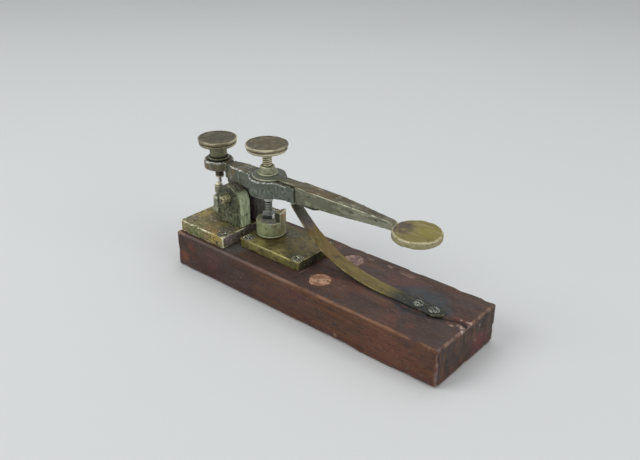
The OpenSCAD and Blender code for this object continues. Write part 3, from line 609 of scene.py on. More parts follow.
@dataclass(frozen=True)
class GreyCasting:
    """Grey nickel-rich casting, filed at its edges and left to dull.

    The eye sees a greenish grey with a fine sand texture, olive and tan round the stop, brown
    grease marks on top, nearly white metal where the filed edges are rubbed, painted highlights
    along the top edges, and painted shade round the lock ring's foot.
    """

    body: str = "#656b5f"
    dull: str = "#515a4e"
    brown: str = "#3f3625"
    olive: str = "#59573f"
    tan: str = "#716850"
    rust: str = "#7b6038"
    green: str = "#66795c"
    pale: str = "#8f938a"
    rubbed_and_highlight: str = "#c6c8c0"
    bright: str = "#d6d9d0"
    hollow_and_shade: str = "#23241f"

    def make(self) -> Material:
        """Makes the material.

        Returns:
            The material.
        """
        skin = Skin("grey_casting", self.body, 0.52, 0.3)
        skin.coat(self.dull, skin.mottle(5, 0.42, 0.62, 0.85, 5, 1))
        top = skin.facing(Axis.Z, 0.6, 0.95)
        skin.coat(self.olive, skin.between(Axis.X, -52, -70, 0.9))
        skin.coat(self.tan, skin.between(Axis.X, -70, -75, 0.9))
        skin.coat(self.brown, top, skin.mottle(6, 0.35, 0.55, 0.9, 4, 2))
        skin.coat(self.rust, skin.between(Axis.X, -50, -60, 0.8),
                  skin.mottle(3.2, 0.52, 0.66, 1, 4, 6, (1, 1, 2)))
        skin.coat(self.dull, skin.between(Axis.X, -46, -58),
                  skin.mottle(2.6, 0.52, 0.64, 0.8, 4, 7, (1, 1, 4)))
        skin.spot(Spot(self.green, (-31, -9, 59), 1.5, 5))
        skin.coat(self.pale, skin.mottle(1.6, 0.5, 0.7, 0.7, 5, 8, (1, 1, 2)))
        skin.coat(self.hollow_and_shade, skin.mottle(1.3, 0.57, 0.7, 0.6, 4, 3))
        skin.coat(self.hollow_and_shade, skin.noted(Note.WEAR, -0.3, -1.0, 0.8))
        # Rubbed filed edges, partly a painted edge highlight.
        edge = skin.both(skin.noted(Note.WEAR, 0.3, 0.75),
                         skin.mottle(7, 0.46, 0.56, 1, 5, 4))
        skin.coat(self.rubbed_and_highlight, edge)
        skin.coat(self.pale, skin.noted(Note.WEAR, 0.4, 0.9, 0.6))
        # Dirt in the joint line and its dots, and painted shade round the lock ring's foot.
        skin.coat(self.hollow_and_shade, skin.noted(Note.DIRT_AND_SHADE, 0.1, 0.8, 0.95))
        # Painted highlights along the top edges of the neck and boss.
        skin.coat(self.bright, skin.noted(Note.CHIP_AND_HIGHLIGHT, 0.15, 0.6))
        skin.polish(0.38, edge)
        # Casting sand leaves a texture of 0.1 to 0.3 mm; it is drawn at 0.6 mm so that it shows.
        skin.emboss(skin.mottle(0.6, 0.35, 0.7, 1, 3, 5), 0.04)
        return skin.material


@dataclass(frozen=True)
class DullSteel:
    """Turned steel that has dulled or been blackened.

    The eye sees grey-brown metal, bright only on burrs and on edges that a driver slipped over,
    which are also painted highlights.
    """

    name: str
    body: str
    stain: str
    bright: str
    roughness: float = 0.45
    metallic: float = 0.6
    seed: float = 0.0

    def make(self) -> Material:
        """Makes the material.

        Returns:
            The material.
        """
        skin = Skin(self.name, self.body, self.roughness, self.metallic)
        rust = skin.mottle(1.8, 0.46, 0.62, 0.85, 4, self.seed + 1)
        skin.coat(self.stain, rust)
        skin.coat(self.stain, skin.noted(Note.WEAR, -0.1, -0.45))
        # Burrs and slot edges, coloured bright as rubbed metal and painted highlight.
        burr = skin.both(skin.noted(Note.WEAR, 0.1, 0.4),
                         skin.mottle(0.9, 0.47, 0.56, 1, 3, self.seed + 2))
        skin.coat(self.bright, burr)
        skin.coat(self.bright, skin.mottle(0.7, 0.6, 0.68, 0.8, 2, self.seed + 4))
        skin.coat(self.stain, skin.noted(Note.DIRT_AND_SHADE, 0.1, 0.8, 0.95))
        skin.polish(0.65, rust)
        skin.emboss(skin.mottle(0.5, 0.4, 0.7, 1, 2, 3), 0.03)
        return skin.material


@dataclass(frozen=True)
class ContactSilver:
    """Hard silver alloy, turned or filed, that the contacts are faced with.

    The eye sees pale cold metal, tarnished grey away from the edges, with painted highlights and
    painted shade where a piece records them.
    """

    name: str = "contact_silver"
    body: str = "#9b9b90"
    tarnish: str = "#5d6058"
    bright: str = "#dcdcd2"
    hollow_and_shade: str = "#24261f"
    metallic: float = 0.5

    def make(self) -> Material:
        """Makes the material.

        Returns:
            The material.
        """
        skin = Skin(self.name, self.body, 0.42, self.metallic)
        skin.coat(self.tarnish, skin.mottle(1.6, 0.4, 0.6, 0.9, 4, 1))
        skin.coat(self.bright, skin.noted(Note.WEAR, 0.4, 0.9, 0.7))
        # Painted shade on the block's sides and at the rod's neck.
        skin.coat(self.hollow_and_shade, skin.noted(Note.DIRT_AND_SHADE, 0.1, 0.8))
        # Painted highlights on the block's corner, the rod's collar and the bead's top.
        skin.coat(self.bright, skin.noted(Note.CHIP_AND_HIGHLIGHT, 0.1, 0.7))
        skin.emboss(skin.mottle(0.5, 0.4, 0.7, 1, 2, 2), 0.02)
        return skin.material


@dataclass(frozen=True)
class StudioFloor:
    """Matt pale laminate that the key stands on, which shows the eye only a soft shadow."""

    colour: str = "#d4d6d6"
    light: str = "#dadcdc"

    def make(self) -> Material:
        """Makes the material.

        Returns:
            The material.
        """
        skin = Skin("studio_floor", self.colour, 0.85)
        skin.coat(self.light, skin.mottle(900, 0.35, 0.65, 1, 2, 1))
        return skin.material


PLACE_PRIMES = (73856093, 19349663, 83492791)
SEED_PRIME = 2654435761
MIX_PRIME = 1274126177
LOW_31_BITS = 0x7FFFFFFF
LOW_16_BITS = 0xFFFF


def smooth(share: np.ndarray) -> np.ndarray:
    """Eases a share that runs from 0 to 1, at both of its ends."""
    return share * share * (3 - 2 * share)


def soft_step(value: np.ndarray, low: float, high: float) -> np.ndarray:
    """Rises softly from 0 at low to 1 at high."""
    return smooth(np.clip((value - low) / (high - low), 0, 1))


def soft_fall(value: np.ndarray, low: float, high: float) -> np.ndarray:
    """Falls softly from 1 at low to 0 at high."""
    return 1 - soft_step(value, low, high)


def soft_band(value: np.ndarray, rise: float, full: float, fall: float,
              end: float) -> np.ndarray:
    """Rises softly from 0 at rise to 1 at full, and falls from there at fall to 0 at end."""
    return soft_step(value, rise, full) * soft_fall(value, fall, end)


def grain(points: np.ndarray, size: float, seed: int, stretch: Point = (1, 1, 1)) -> np.ndarray:
    """Gives smooth noise in space, from a hash of each cell's corners.

    Args:
        points: Places, in millimetres.
        size: The size of a bump, in millimetres.
        seed: Which noise.
        stretch: How much longer a bump is along each axis.

    Returns:
        A value from -1 to 1 for each point.
    """
    place = points / (np.array(stretch) * size)
    cell = np.floor(place).astype(np.int64)
    share = smooth(place - cell)
    total = np.zeros(len(points))
    for corner in itertools.product((0, 1), repeat=3):
        mixed = np.bitwise_xor.reduce((cell + np.array(corner)) * PLACE_PRIMES, axis=1)
        mixed = (mixed ^ (seed * SEED_PRIME)) & LOW_31_BITS
        mixed = ((mixed ^ (mixed >> 13)) * MIX_PRIME) & LOW_31_BITS
        value = 2 * ((mixed ^ (mixed >> 15)) & LOW_16_BITS) / LOW_16_BITS - 1
        total += value * np.prod(np.where(corner, share, 1 - share), axis=1)
    return total


def eased(outline: Outline, corner: float, spacing: float) -> np.ndarray:
    """Rounds the corners of an outline and spaces its points.

    Args:
        outline: Radius and height of each corner.
        corner: How far from a corner its rounding starts, if its sides are long enough.
        spacing: The longest step between points.

    Returns:
        The points, one row each.
    """
    ends = np.array(outline, float)
    points = [ends[0]]
    for before, at, after in zip(ends, ends[1:], ends[2:]):
        back, ahead = at - before, after - at
        lengths = np.linalg.norm(back), np.linalg.norm(ahead)
        reach = min(corner, ROUNDING_SHARE * min(lengths))
        start, end = at - back / lengths[0] * reach, at + ahead / lengths[1] * reach
        for t in ROUNDING_STEPS:
            points.append((1 - t) ** 2 * start + 2 * t * (1 - t) * at + t * t * end)
    points.append(ends[-1])
    spaced = [points[0]]
    for before, at in zip(points, points[1:]):
        steps = max(1, math.ceil(np.linalg.norm(at - before) / spacing))
        spaced.extend(before + (at - before) * (i + 1) / steps for i in range(steps))
    return np.array(spaced)


def link_object(name: str, data: bpy.types.ID) -> bpy.types.Object:
    """Puts a mesh, lamp or camera in the scene.

    Args:
        name: The object's name.
        data: What it shows.

    Returns:
        The object.
    """
    placed = bpy.data.objects.new(name, data)
    bpy.context.scene.collection.objects.link(placed)
    return placed


class Surface:
    """A closed mesh under work, with its points in millimetres in the key's frame."""

    def __init__(self, name: str, mesh: bpy.types.Mesh) -> None:
        """Takes over a mesh.

        Args:
            name: The piece's name.
            mesh: The mesh, in metres.
        """
        mesh.name = name
        self.object = link_object(name, mesh)
        self.mesh = mesh
        self.points = np.empty(3 * len(mesh.vertices), np.float32)
        mesh.vertices.foreach_get("co", self.points)
        self.points = self.points.reshape(-1, 3).astype(float) / MM
        edges = np.empty(2 * len(mesh.edges), np.int32)
        mesh.edges.foreach_get("vertices", edges)
        self.edges = edges.reshape(-1, 2)
        self.wear, self.dirt_and_shade, self.chip_and_highlight = np.zeros((3, len(self.points)))

    @classmethod
    def of_node(cls, name: str, node: str, voxel: float) -> "Surface":
        """Copies a CAD node with dense, even faces.

        Args:
            name: The new piece's name.
            node: The CAD node.
            voxel: The size of a face, in millimetres.

        Returns:
            The surface.
        """
        shape = bmesh.new()
        shape.from_mesh(frame["nodes"][node].data)
        bmesh.ops.remove_doubles(shape, verts=shape.verts, dist=TINY)
        welded = bpy.data.meshes.new(f"{name}_core")
        shape.to_mesh(welded)
        shape.free()
        core = link_object(f"{name}_core", welded)
        dense = core.modifiers.new("even_faces", "REMESH")
        dense.mode = "VOXEL"
        dense.voxel_size = voxel * MM
        graph = bpy.context.evaluated_depsgraph_get()
        mesh = bpy.data.meshes.new_from_object(core.evaluated_get(graph))
        bpy.data.objects.remove(core)
        bpy.data.meshes.remove(welded)
        return cls(name, mesh)

    @classmethod
    def turned(cls, name: str, outline: Outline, centre: Point, corner: float, spacing: float,
               steps: int, closed: bool = False) -> "Surface":
        """Turns an outline about an upright axis.

        Args:
            name: The piece's name.
            outline: Radius and height of each corner, from below to above on the outside.
            centre: Where the axis stands and where its heights start, in millimetres.
            corner: How far from a corner its rounding starts.
            spacing: The longest step along the outline.
            steps: Steps in a turn.
            closed: Whether the outline closes on itself, round a bore.

        Returns:
            The surface.
        """
        profile = eased(outline + outline[:2] if closed else outline, corner, spacing)
        if closed:
            first = np.argmin(np.linalg.norm(profile[:len(profile) // 2] - profile[-1], axis=1))
            profile = profile[first:-1] if first else profile[:-1]
        angles = np.arange(steps) * 2 * math.pi / steps
        shape = bmesh.new()
        rings = []
        for radius, height in profile:
            turns = angles if radius > TINY else angles[:1]
            rings.append([shape.verts.new(((centre[0] + radius * math.cos(a)) * MM,
                                           (centre[1] + radius * math.sin(a)) * MM,
                                           (centre[2] + height) * MM)) for a in turns])
        for low, high in zip(rings, rings[1:] + rings[:closed]):
            for i in range(steps):
                j = (i + 1) % steps
                corners = [low[i % len(low)], low[j % len(low)], high[j % len(high)],
                           high[i % len(high)]]
                shape.faces.new(list(dict.fromkeys(corners)))
        bmesh.ops.recalc_face_normals(shape, faces=shape.faces)
        mesh = bpy.data.meshes.new(name)
        shape.to_mesh(mesh)
        shape.free()
        return cls(name, mesh)

    def write(self) -> None:
        """Puts the worked points back in the mesh."""
        self.mesh.vertices.foreach_set("co", (self.points * MM).astype(np.float32).ravel())
        self.mesh.update()

    def normals(self) -> np.ndarray:
        """Gives the outward direction at each point.

        Returns:
            One row for each point.
        """
        self.write()
        out = np.empty(3 * len(self.points), np.float32)
        self.mesh.vertex_normals.foreach_get("vector", out)
        return out.reshape(-1, 3).astype(float)

    def from_axis(self, centre: Point) -> np.ndarray:
        """Gives how far each point is from an upright axis, in millimetres."""
        return np.hypot(self.points[:, 0] - centre[0], self.points[:, 1] - centre[1])

    def smoothed(self, values: np.ndarray, rounds: int) -> np.ndarray:
        """Averages values with those of their neighbours.

        Args:
            values: One row for each point.
            rounds: How often.

        Returns:
            The averaged values.
        """
        count = len(self.points)
        a, b = self.edges.T
        links = np.maximum(np.bincount(a, minlength=count) + np.bincount(b, minlength=count), 1)
        rows = values.reshape(count, -1).copy()
        for _ in range(rounds):
            for k in range(rows.shape[1]):
                near = np.bincount(a, rows[b, k], count) + np.bincount(b, rows[a, k], count)
                rows[:, k] = 0.5 * rows[:, k] + 0.5 * near / links
        return rows.reshape(values.shape)

    def soften(self, rounds: int) -> None:
        """Rounds everything a little."""
        self.points = self.smoothed(self.points, rounds)

    def find_edges(self, rounds: int, share: float = 0.03) -> None:
        """Records where the surface is an edge, up to 1, or a hollow, down to -1.

        Args:
            rounds: How wide an edge reaches.
            share: The share of the points that count as full edges.
        """
        out = self.normals()
        stand = ((self.points - self.smoothed(self.points, rounds)) * out).sum(1)
        full = max(float(np.quantile(stand, 1 - share)), LEAST_EDGE)
        self.wear = np.clip(stand / full, -1, 1)
        log.info("%s: a full edge stands out %.3f mm", self.object.name, full)

    def push(self, offset: np.ndarray) -> None:
        """Moves each point out along its normal, in millimetres."""
        self.points += self.normals() * offset[:, None]

    def add_dirt_and_shade(self, *layers: np.ndarray) -> None:
        """Adds layers of dirt and painted shade where they are deeper than what is there."""
        self.dirt_and_shade = np.max([self.dirt_and_shade, *layers], axis=0)

    def weather(self, wave: float, pit: float, seed: int, size: float,
                stretch: Point = (1, 1, 1)) -> None:
        """Wears the surface: slow waves, small pits and ragged edges.

        Args:
            wave: Depth of the waves, in millimetres.
            pit: Depth of the pits, in millimetres.
            seed: Which pattern.
            size: Length of the waves, in millimetres.
            stretch: How much longer the waves are along each axis.
        """
        slow = grain(self.points, size, seed, stretch)
        fine = grain(self.points, 1.6, seed + 1)
        holes = soft_step(grain(self.points, 2.3, seed + 2), 0.45, 0.8)
        nick = soft_step(grain(self.points, 3.1, seed + 3), 0.1, 0.7)
        edge = soft_step(self.wear, 0.2, 0.7)
        self.push(wave * (slow - 0.5) + pit * 0.35 * fine - pit * holes - 4 * pit * nick * edge)
        self.add_dirt_and_shade(0.5 * holes * (self.wear < 0.2))

    def thread(self, centre: Point, radius: float, span: tuple[float, float], pitch: float,
               depth: float) -> None:
        """Cuts a screw thread into an upright shank.

        Args:
            centre: A place on the shank's axis.
            radius: The shank's radius.
            span: Lowest and highest place of the thread.
            pitch: Distance between turns.
            depth: Depth of the thread.
        """
        away = self.points[:, :2] - np.array(centre[:2])
        reach = np.linalg.norm(away, axis=1)
        height = self.points[:, 2]
        inside = (np.abs(reach - radius) < 0.1) & (height > span[0]) & (height < span[1])
        turn = height / pitch - np.arctan2(away[:, 1], away[:, 0]) / (2 * math.pi)
        groove = np.abs((turn % 1) - 0.5) * 2
        cut = np.where(inside, depth * groove, 0)
        self.points[:, :2] -= away / np.maximum(reach, TINY)[:, None] * cut[:, None]
        self.add_dirt_and_shade(np.where(inside, 0.55 * groove, 0))

    def finish(self, material: Material, body: Body, slot: str, *nodes: str) -> None:
        """Writes the mesh and its notes, and puts the piece in its place.

        Args:
            material: Its finish.
            body: What it moves with.
            slot: The record's material slot; not used.
            *nodes: The CAD nodes it stands for.
        """
        self.write()
        for note in Note:
            layer = self.mesh.attributes.new(note.value, "FLOAT", "POINT")
            layer.data.foreach_set("value", getattr(self, note.value).astype(np.float32))
        self.mesh.shade_smooth()
        paint(self.mesh, material)
        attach(self.object, body.value)
        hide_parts(*nodes)
        log.info("%s: %d points", self.object.name, len(self.points))


def paint(mesh: bpy.types.Mesh, material: Material) -> None:
    """Gives a mesh one finish all over."""
    mesh.materials.clear()
    mesh.materials.append(material)


def dress_node(material: Material, node: str) -> None:
    """Gives a CAD node that stays its finish."""
    paint(frame["nodes"][node].data, material)
    log.info("%s: kept from the CAD", node)


def distance_to_path(points: np.ndarray, path: Path) -> np.ndarray:
    """Measures how far points are from a line drawn on the board's top.

    Args:
        points: Places, in millimetres.
        path: The line's corners, as X and Y.

    Returns:
        The distance of each point, seen from above.
    """
    least = np.full(len(points), np.inf)
    for start, end in zip(path, path[1:]):
        a, run = np.array(start), np.array(end) - np.array(start)
        share = np.clip(((points[:, :2] - a) @ run) / (run @ run), 0, 1)
        gap = points[:, :2] - a - share[:, None] * run
        least = np.minimum(least, np.linalg.norm(gap, axis=1))
    return least


Recipe = (OldMahogany | PaleEndGrain | AgedBrass | SpringBrass | GreyCasting | DullSteel
          | ContactSilver)


def made(recipe: Recipe) -> Material:
    """Makes a finish when the dataclass that holds it is called."""
    return field(default_factory=recipe.make)


@dataclass(frozen=True)
class Finishes:
    """Every finish of the key, each made once."""

    mahogany: Material = made(OldMahogany())
    near_plug: Material = made(PaleEndGrain("pale_end_grain", "#8c634d", "#c79c7e"))
    far_plug: Material = made(PaleEndGrain("grey_end_grain", "#77605a", "#a5897c", "#4c3b36"))
    rear_plate: Material = made(AgedBrass(
        "rear_plate_brass", "#968b5a", "#80754f", "#5b5b3c", "#ece5c2", patch=6, fleck=0.35, seed=2,
        shades=(Shade("#736a3a", Axis.Z), Shade("#6e6262", Axis.X)),
        spots=(Spot("#9c8644", (-88, -9, REAR_TOP), 3, 8),
               Spot("#8a6a42", (-68, -20, REAR_TOP), 3, 9),
               Spot("#6a6054", (-88, -18, REAR_TOP), 2, 6),
               Spot("#565049", (-61, -15, REAR_TOP), 3, 8),
               Spot("#655a4c", (-76, -8, REAR_TOP), 3, 9),
               Spot("#ac9040", (-61, REAR_SIDE, 27), 2, 7.5),
               Spot("#66713e", (-78, REAR_SIDE, 24.5), 2, 9),
               Spot("#857877", (REAR_END, -10, 27), 10, 20, 0.95, Axis.X))))
    front_plate: Material = made(AgedBrass(
        "front_plate_brass", "#847c44", "#6a6338", "#46462f", "#a39b68", patch=6, scuff=20,
        fleck=0.25, seed=3, shades=(Shade("#453810", Axis.Z), Shade("#22211a", Axis.X)),
        # The first spot is a painted shadow of the pillar on the plate's top.
        spots=(Spot("#3b3d2e", (-30, 8, FRONT_TOP), 3, 8),
               Spot("#64542a", (-14, 3, FRONT_TOP), 4, 12),
               Spot("#615236", (-43, -13, FRONT_TOP), 2, 7),
               Spot("#6a5a28", (-32, 17, FRONT_TOP), 3, 8),
               Spot("#464025", (-9, -10, FRONT_TOP), 3, 7),
               Spot("#9b9055", (-38, -15, FRONT_TOP), 3, 9),
               Spot("#968a50", (-22, -15.5, FRONT_TOP), 3, 9))))
    # The verdigris on the +X face is painted lighter than its own colour, as painted light on a
    # face that the casting shades.
    near_cheek: Material = made(GreenedBrass(
        "near_cheek_brass", "#5d6044", "#45473a", "#36362a", "#979c72", "#15140e",
        roughness=0.6, metallic=0.25, patch=3.5, fleck=0.68, pitted=0.51, seed=1,
        green="#d9e5bd", streak="#97a57c", start=0.6, end=0.9, shades=(Shade("#77705f", Axis.Z),),
        spots=(Spot("#5f6b4a", (-62, -12.5, 34), 2, 8), Spot("#2f2e27", (-63, -12.5, 51), 2, 6),
               Spot("#868a64", (-69, -13, 45), 2, 6),
               Spot("#7b7b66", (-67, -13, 34), 3, 10, 0.8))))
    # Painted shadow: the far cheek is a darker copy of the cheek brass, for the boss's shade; its
    # -Y face is painted lighter, as painted light in the slot.
    far_cheek: Material = made(AgedBrass(
        "shaded_far_cheek_brass", "#4f4f45", "#45413b", "#3a3434", "#74756a", roughness=0.6,
        metallic=0.2, patch=4, seed=4, shades=(Shade("#7c6f76", Axis.Y, -1),)))
    pillar: Material = made(GreenedBrass(
        "pillar_brass", "#8f8a68", "#94865f", "#5d6048", "#d8dab6", "#24241b", roughness=0.58,
        metallic=0.25, patch=4, scuff=40, seed=6, green="#99a276", streak="#6d7550",
        axis=Axis.Y, start=0.1, end=-0.7, amount=0.8, bare_from=0.3,
        shades=(Shade("#7b7d76", Axis.Z),), spots=(Spot("#b08f66", (-33.5, 3, 43.3), 3, 5.5),)))
    post: Material = made(AgedBrass(
        "post_brass", "#8b8d76", "#777a62", "#5d5f4a", "#c8cbb2", roughness=0.5, patch=3,
        scuff=12, seed=7))
    turned: Material = made(AgedBrass(
        "turned_brass", "#857d62", "#74694f", "#5b5740", "#d3cbae", "#3b3226", roughness=0.46,
        metallic=0.4, patch=4, scuff=40, fleck=0.14, seed=5, shades=(Shade("#312b13", Axis.Z),),
        spots=(Spot("#bcb78e", (-42, 1, 74), 4, 8, 0.95),
               Spot("#332a0d", (-81, 0, 76.7), 4, 12, 0.92, Axis.Z),
               Spot("#483d10", (-40, 2, 83), 4, 12, 0.85, Axis.Z),
               Spot("#4a4230", (-82.6, 1, 54), 3, 5),
               Spot("#7b7e62", (-82.6, 1, 69), 4.5, 7.5))))
    nut: Material = made(AgedBrass(
        "nut_brass", "#77785c", "#605f44", "#4b4937", "#bfc3a0", "#2a281f", roughness=0.46,
        metallic=0.4, patch=3, scuff=20, seed=8))
    arm: Material = made(AgedBrass(
        "arm_brass", "#6f705c", "#65674f", "#5a5c4a", "#b9ba9f", roughness=0.5, metallic=0.35,
        patch=6, lay=(2.5, 1, 1), fleck=0.4, pitted=0.66, seed=9,
        shades=(Shade("#3b351c", Axis.Z),),
        spots=(Spot("#90907a", (40, -2, 60), 10, 28, 0.85),
               Spot("#4d4530", (37, 0, 63), 9, 28, 0.9, Axis.Z),
               Spot("#574424", (0, 1, 64), 5, 17, 0.85, Axis.Z),
               Spot("#687069", (-41, 1, STRAP_TOP), 8, 12.5),
               Spot("#4e4224", (-18, 0, 64), 4, 9, 0.7, Axis.Z),
               Spot("#433a26", (33, 0, 64), 3, 10, 0.8, Axis.Z))))
    disc: Material = made(AgedBrass(
        "disc_brass", "#a29977", "#8d8150", "#766b3c", "#cdc5a2", roughness=0.48, metallic=0.35,
        patch=3, lay=(5, 1, 1), scuff=60, fleck=0.15, pitted=0.66, seed=13,
        shades=(Shade("#70651f", Axis.Z),),
        spots=(Spot("#493c30", (50, -2, 63), 5, 10.5, 0.9), Spot("#7d7222", (66, 3, 63), 4, 9))))
    spring: Material = made(SpringBrass())
    casting: Material = made(GreyCasting())
    screw: Material = made(DullSteel("dulled_screw_steel", "#63604f", "#3a382e", "#e4e1d0"))
    black: Material = made(DullSteel("blackened_screw_steel", "#3d403a", "#2a2c28", "#9b9d92",
                                     roughness=0.5, metallic=0.4))
    silver: Material = made(ContactSilver())
    bead: Material = made(ContactSilver("worn_bead_silver", "#a3a394", "#6a6c60", "#f3edd2",
                                        metallic=0.25))
    block: Material = made(ContactSilver("filed_block_silver", "#989b94", "#72766f", "#f0f0ea",
                                         metallic=0.3))
    pin: Material = made(DullSteel("greasy_pin_steel", "#6f6a58", "#1f1d15", "#c9c299",
                                   metallic=0.35, seed=5))
    rod: Material = made(ContactSilver("tarnished_rod_silver", "#70756a", "#51564d", "#d0d2c8",
                                       metallic=0.3))


@dataclass(frozen=True)
class Board:
    """The mahogany board with its two plugs, in millimetres."""

    finishes: Finishes
    plug_x: float = 10.0
    plug_y: float = 14.0
    plug_r: float = 6.1
    plug_deep: float = 8.0
    face: float = 0.62
    split: Path = ((72.5, -4.6), (79.0, -2.4), (84.5, -0.6), (88.6, 0.7), (93.4, -1.2))
    split_full: float = 0.3857
    split_end: float = 1.4327
    splinters: tuple[Point, ...] = (
        (86.2, -4.6, 2.3), (89.2, -2.6, 2.4), (91.6, -3.4, 2.8), (92.2, 3.4, 1.9),
        (92.8, -5.2, 2.4), (87.2, 2.6, 1.4), (90.4, 2.8, 1.6), (87.4, -27.2, 1.4))
    scratches: tuple[Path, ...] = (
        ((14, 22.0), (27, 22.6)), ((16, 21.0), (31, 21.8)), ((20, 23.0), (37, 22.6)),
        ((30, 21.2), (47, 20.6)), ((33, 22.6), (52, 22.0)), ((38, 20.2), (50, 20.0)),
        ((-40, 21.5), (-18, 24.2)), ((-3.4, -15.5), (-2.7, -6)), ((-2.7, -6), (-2.5, 4)))
    # Where the spring's painted shadow lies on the board's top.
    spring_shadow: Path = ((6, 4.5), (10, 2.6), (19.4, -0.5), (31, -2.6), (42, -3.8), (52, -5.2),
                   (60, -7.6), (67, -7.4), (76, -5.4), (81, -4))

    def build(self) -> None:
        """Builds and dresses the board and its plugs."""
        self.board()
        self.plug("near", -self.plug_y, self.finishes.near_plug, 21)
        self.plug("far", self.plug_y, self.finishes.far_plug, 27)

    def board(self) -> None:
        """Builds the worn, split board."""
        wood = Surface.of_node("worn_board", "base_board", self.face)
        wood.soften(1)
        wood.find_edges(14)
        x, _, z = wood.points.T
        top = soft_step(z, BOARD_TOP - 1.6, BOARD_TOP - 0.6)
        edge = soft_step(wood.wear, 0.15, 0.6)
        dents = soft_step(grain(wood.points, 9, 31, (2, 1, 1)), 0.25, 0.75)
        small = soft_step(grain(wood.points, 3.2, 32, (1.6, 1, 1)), 0.2, 0.8)
        fibre = grain(wood.points, 0.9, 33, (14, 1, 1))
        wave = grain(wood.points, 22, 34, (3, 1, 1))
        offset = 0.09 * wave + 0.05 * fibre - 0.04
        offset -= edge * (0.55 * dents + 0.35 * small) * (0.7 + 0.5 * soft_step(x, -20, 50))
        offset -= self.opened(wood, top)
        for splinter in self.splinters:
            offset -= self.splintered(wood, splinter)
        for scratch in self.scratches:
            offset -= self.scratched(wood, scratch, top)
        # Painted shadow: the board's top is darkened along the spring's near edge, where the spring
        # shades it.
        spring_shadow = distance_to_path(wood.points, self.spring_shadow)
        wood.add_dirt_and_shade(0.75 * soft_fall(spring_shadow, 0.5, 2.0) * top)
        wood.push(offset)
        wood.points[:, 2] = np.maximum(wood.points[:, 2], 0)
        wood.finish(self.finishes.mahogany, Body.BASE, "board_wood", "base_board")

    def opened(self, wood: Surface, top: np.ndarray) -> np.ndarray:
        """Fills the split in the front end with dirt and painted shade.

        Args:
            wood: The board.
            top: How far each point belongs to the board's top.

        Returns:
            The split's depth at each point.
        """
        gap = distance_to_path(wood.points, self.split)
        wood.dirt_and_shade = soft_fall(gap, self.split_full, self.split_end) * top
        return 1.5 * wood.dirt_and_shade

    def splintered(self, wood: Surface, splinter: Point) -> np.ndarray:
        """Records a torn place beside the split.

        Args:
            wood: The board, with nothing but the split's dirt and painted shade.
            splinter: The place's X, Y and size.

        Returns:
            Its depth at each point.
        """
        x, y, z = wood.points.T
        gap = np.hypot(x - splinter[0], (y - splinter[1]) * 1.7)
        torn = (soft_fall(gap, 0.3 * splinter[2], splinter[2])
                * soft_step(z, BOARD_TOP - 3, BOARD_TOP - 1)
                * soft_step(grain(wood.points, 1.0, 37), -0.6, 0.3))
        wood.chip_and_highlight = np.maximum(wood.chip_and_highlight, torn * (1 - wood.dirt_and_shade))
        return 0.5 * torn

    def scratched(self, wood: Surface, scratch: Path, top: np.ndarray) -> np.ndarray:
        """Records a scratch.

        Args:
            wood: The board.
            scratch: The line that it follows.
            top: How far each point belongs to the board's top.

        Returns:
            Its depth at each point.
        """
        broken = soft_step(grain(wood.points, 3.7, 36), -0.3, 0.4)
        line = soft_fall(distance_to_path(wood.points, scratch), 0.15, 0.8) * top * broken
        wood.chip_and_highlight = np.maximum(wood.chip_and_highlight, 0.42 * line)
        return 0.1 * line

    def plug(self, name: str, y: float, material: Material, seed: int) -> None:
        """Builds one plug.

        Args:
            name: Which plug.
            y: Where it stands across the board.
            material: Its finish.
            seed: Which wear it gets.
        """
        r, low = self.plug_r, -self.plug_deep
        outline = [(0, low), (r - 0.3, low), (r, low + 0.4), (r, 0.12), (0, 0.2)]
        disc = Surface.turned(f"{name}_wood_plug", outline, (self.plug_x, y, BOARD_TOP), 0.3,
                              0.45, 72)
        disc.find_edges(8)
        disc.push(0.14 * grain(disc.points, 3.4, seed) - 0.06)
        disc.finish(material, Body.BASE, "plug_wood", f"{name}_plug")


@dataclass(frozen=True)
class Plates:
    """The two brass plates and their wood screws."""

    finishes: Finishes
    face: float = 0.42
    screw_face: float = 0.2

    def build(self) -> None:
        """Builds and dresses the plates and their screws."""
        for name, material, seed, dull_from in (("rear", self.finishes.rear_plate, 41, 30),
                                                ("front", self.finishes.front_plate, 51, 6)):
            plate = Surface.of_node(f"worn_{name}_plate", f"{name}_plate", self.face)
            plate.find_edges(8)
            x, y, _ = plate.points.T
            plate.wear *= soft_fall(y, dull_from, dull_from + 4)
            # A broken painted highlight along the rear plate's near top edge.
            broken = soft_step(grain(plate.points, 1.3, seed + 9), -0.25, 0.25)
            near_edge_highlight = soft_step(plate.wear, 0.05, 0.3) * broken * soft_fall(x, -68, -64)
            plate.chip_and_highlight = near_edge_highlight * soft_fall(y, -20, -16)
            plate.weather(0.06, 0.09, seed, 14)
            plate.finish(material, Body.BASE, "plate_brass", f"{name}_plate")
            self.screws(f"{name}_plate_screws", seed + 5)

    def screws(self, node: str, seed: int) -> None:
        """Builds one plate's burred screws.

        Args:
            node: The screws' CAD node.
            seed: Which burrs they get.
        """
        screws = Surface.of_node(f"burred_{node}", node, self.screw_face)
        screws.find_edges(5, 0.1)
        top = screws.points[:, 2].max()
        head = soft_step(screws.points[:, 2], top - 1.5, top - 0.5)
        burr = grain(screws.points, 0.7, seed) * soft_step(screws.wear, 0.1, 0.5)
        screws.push(head * (0.22 * burr + 0.07 * grain(screws.points, 1.3, seed + 1)))
        screws.finish(self.finishes.screw, Body.BASE, "screw_steel", node)


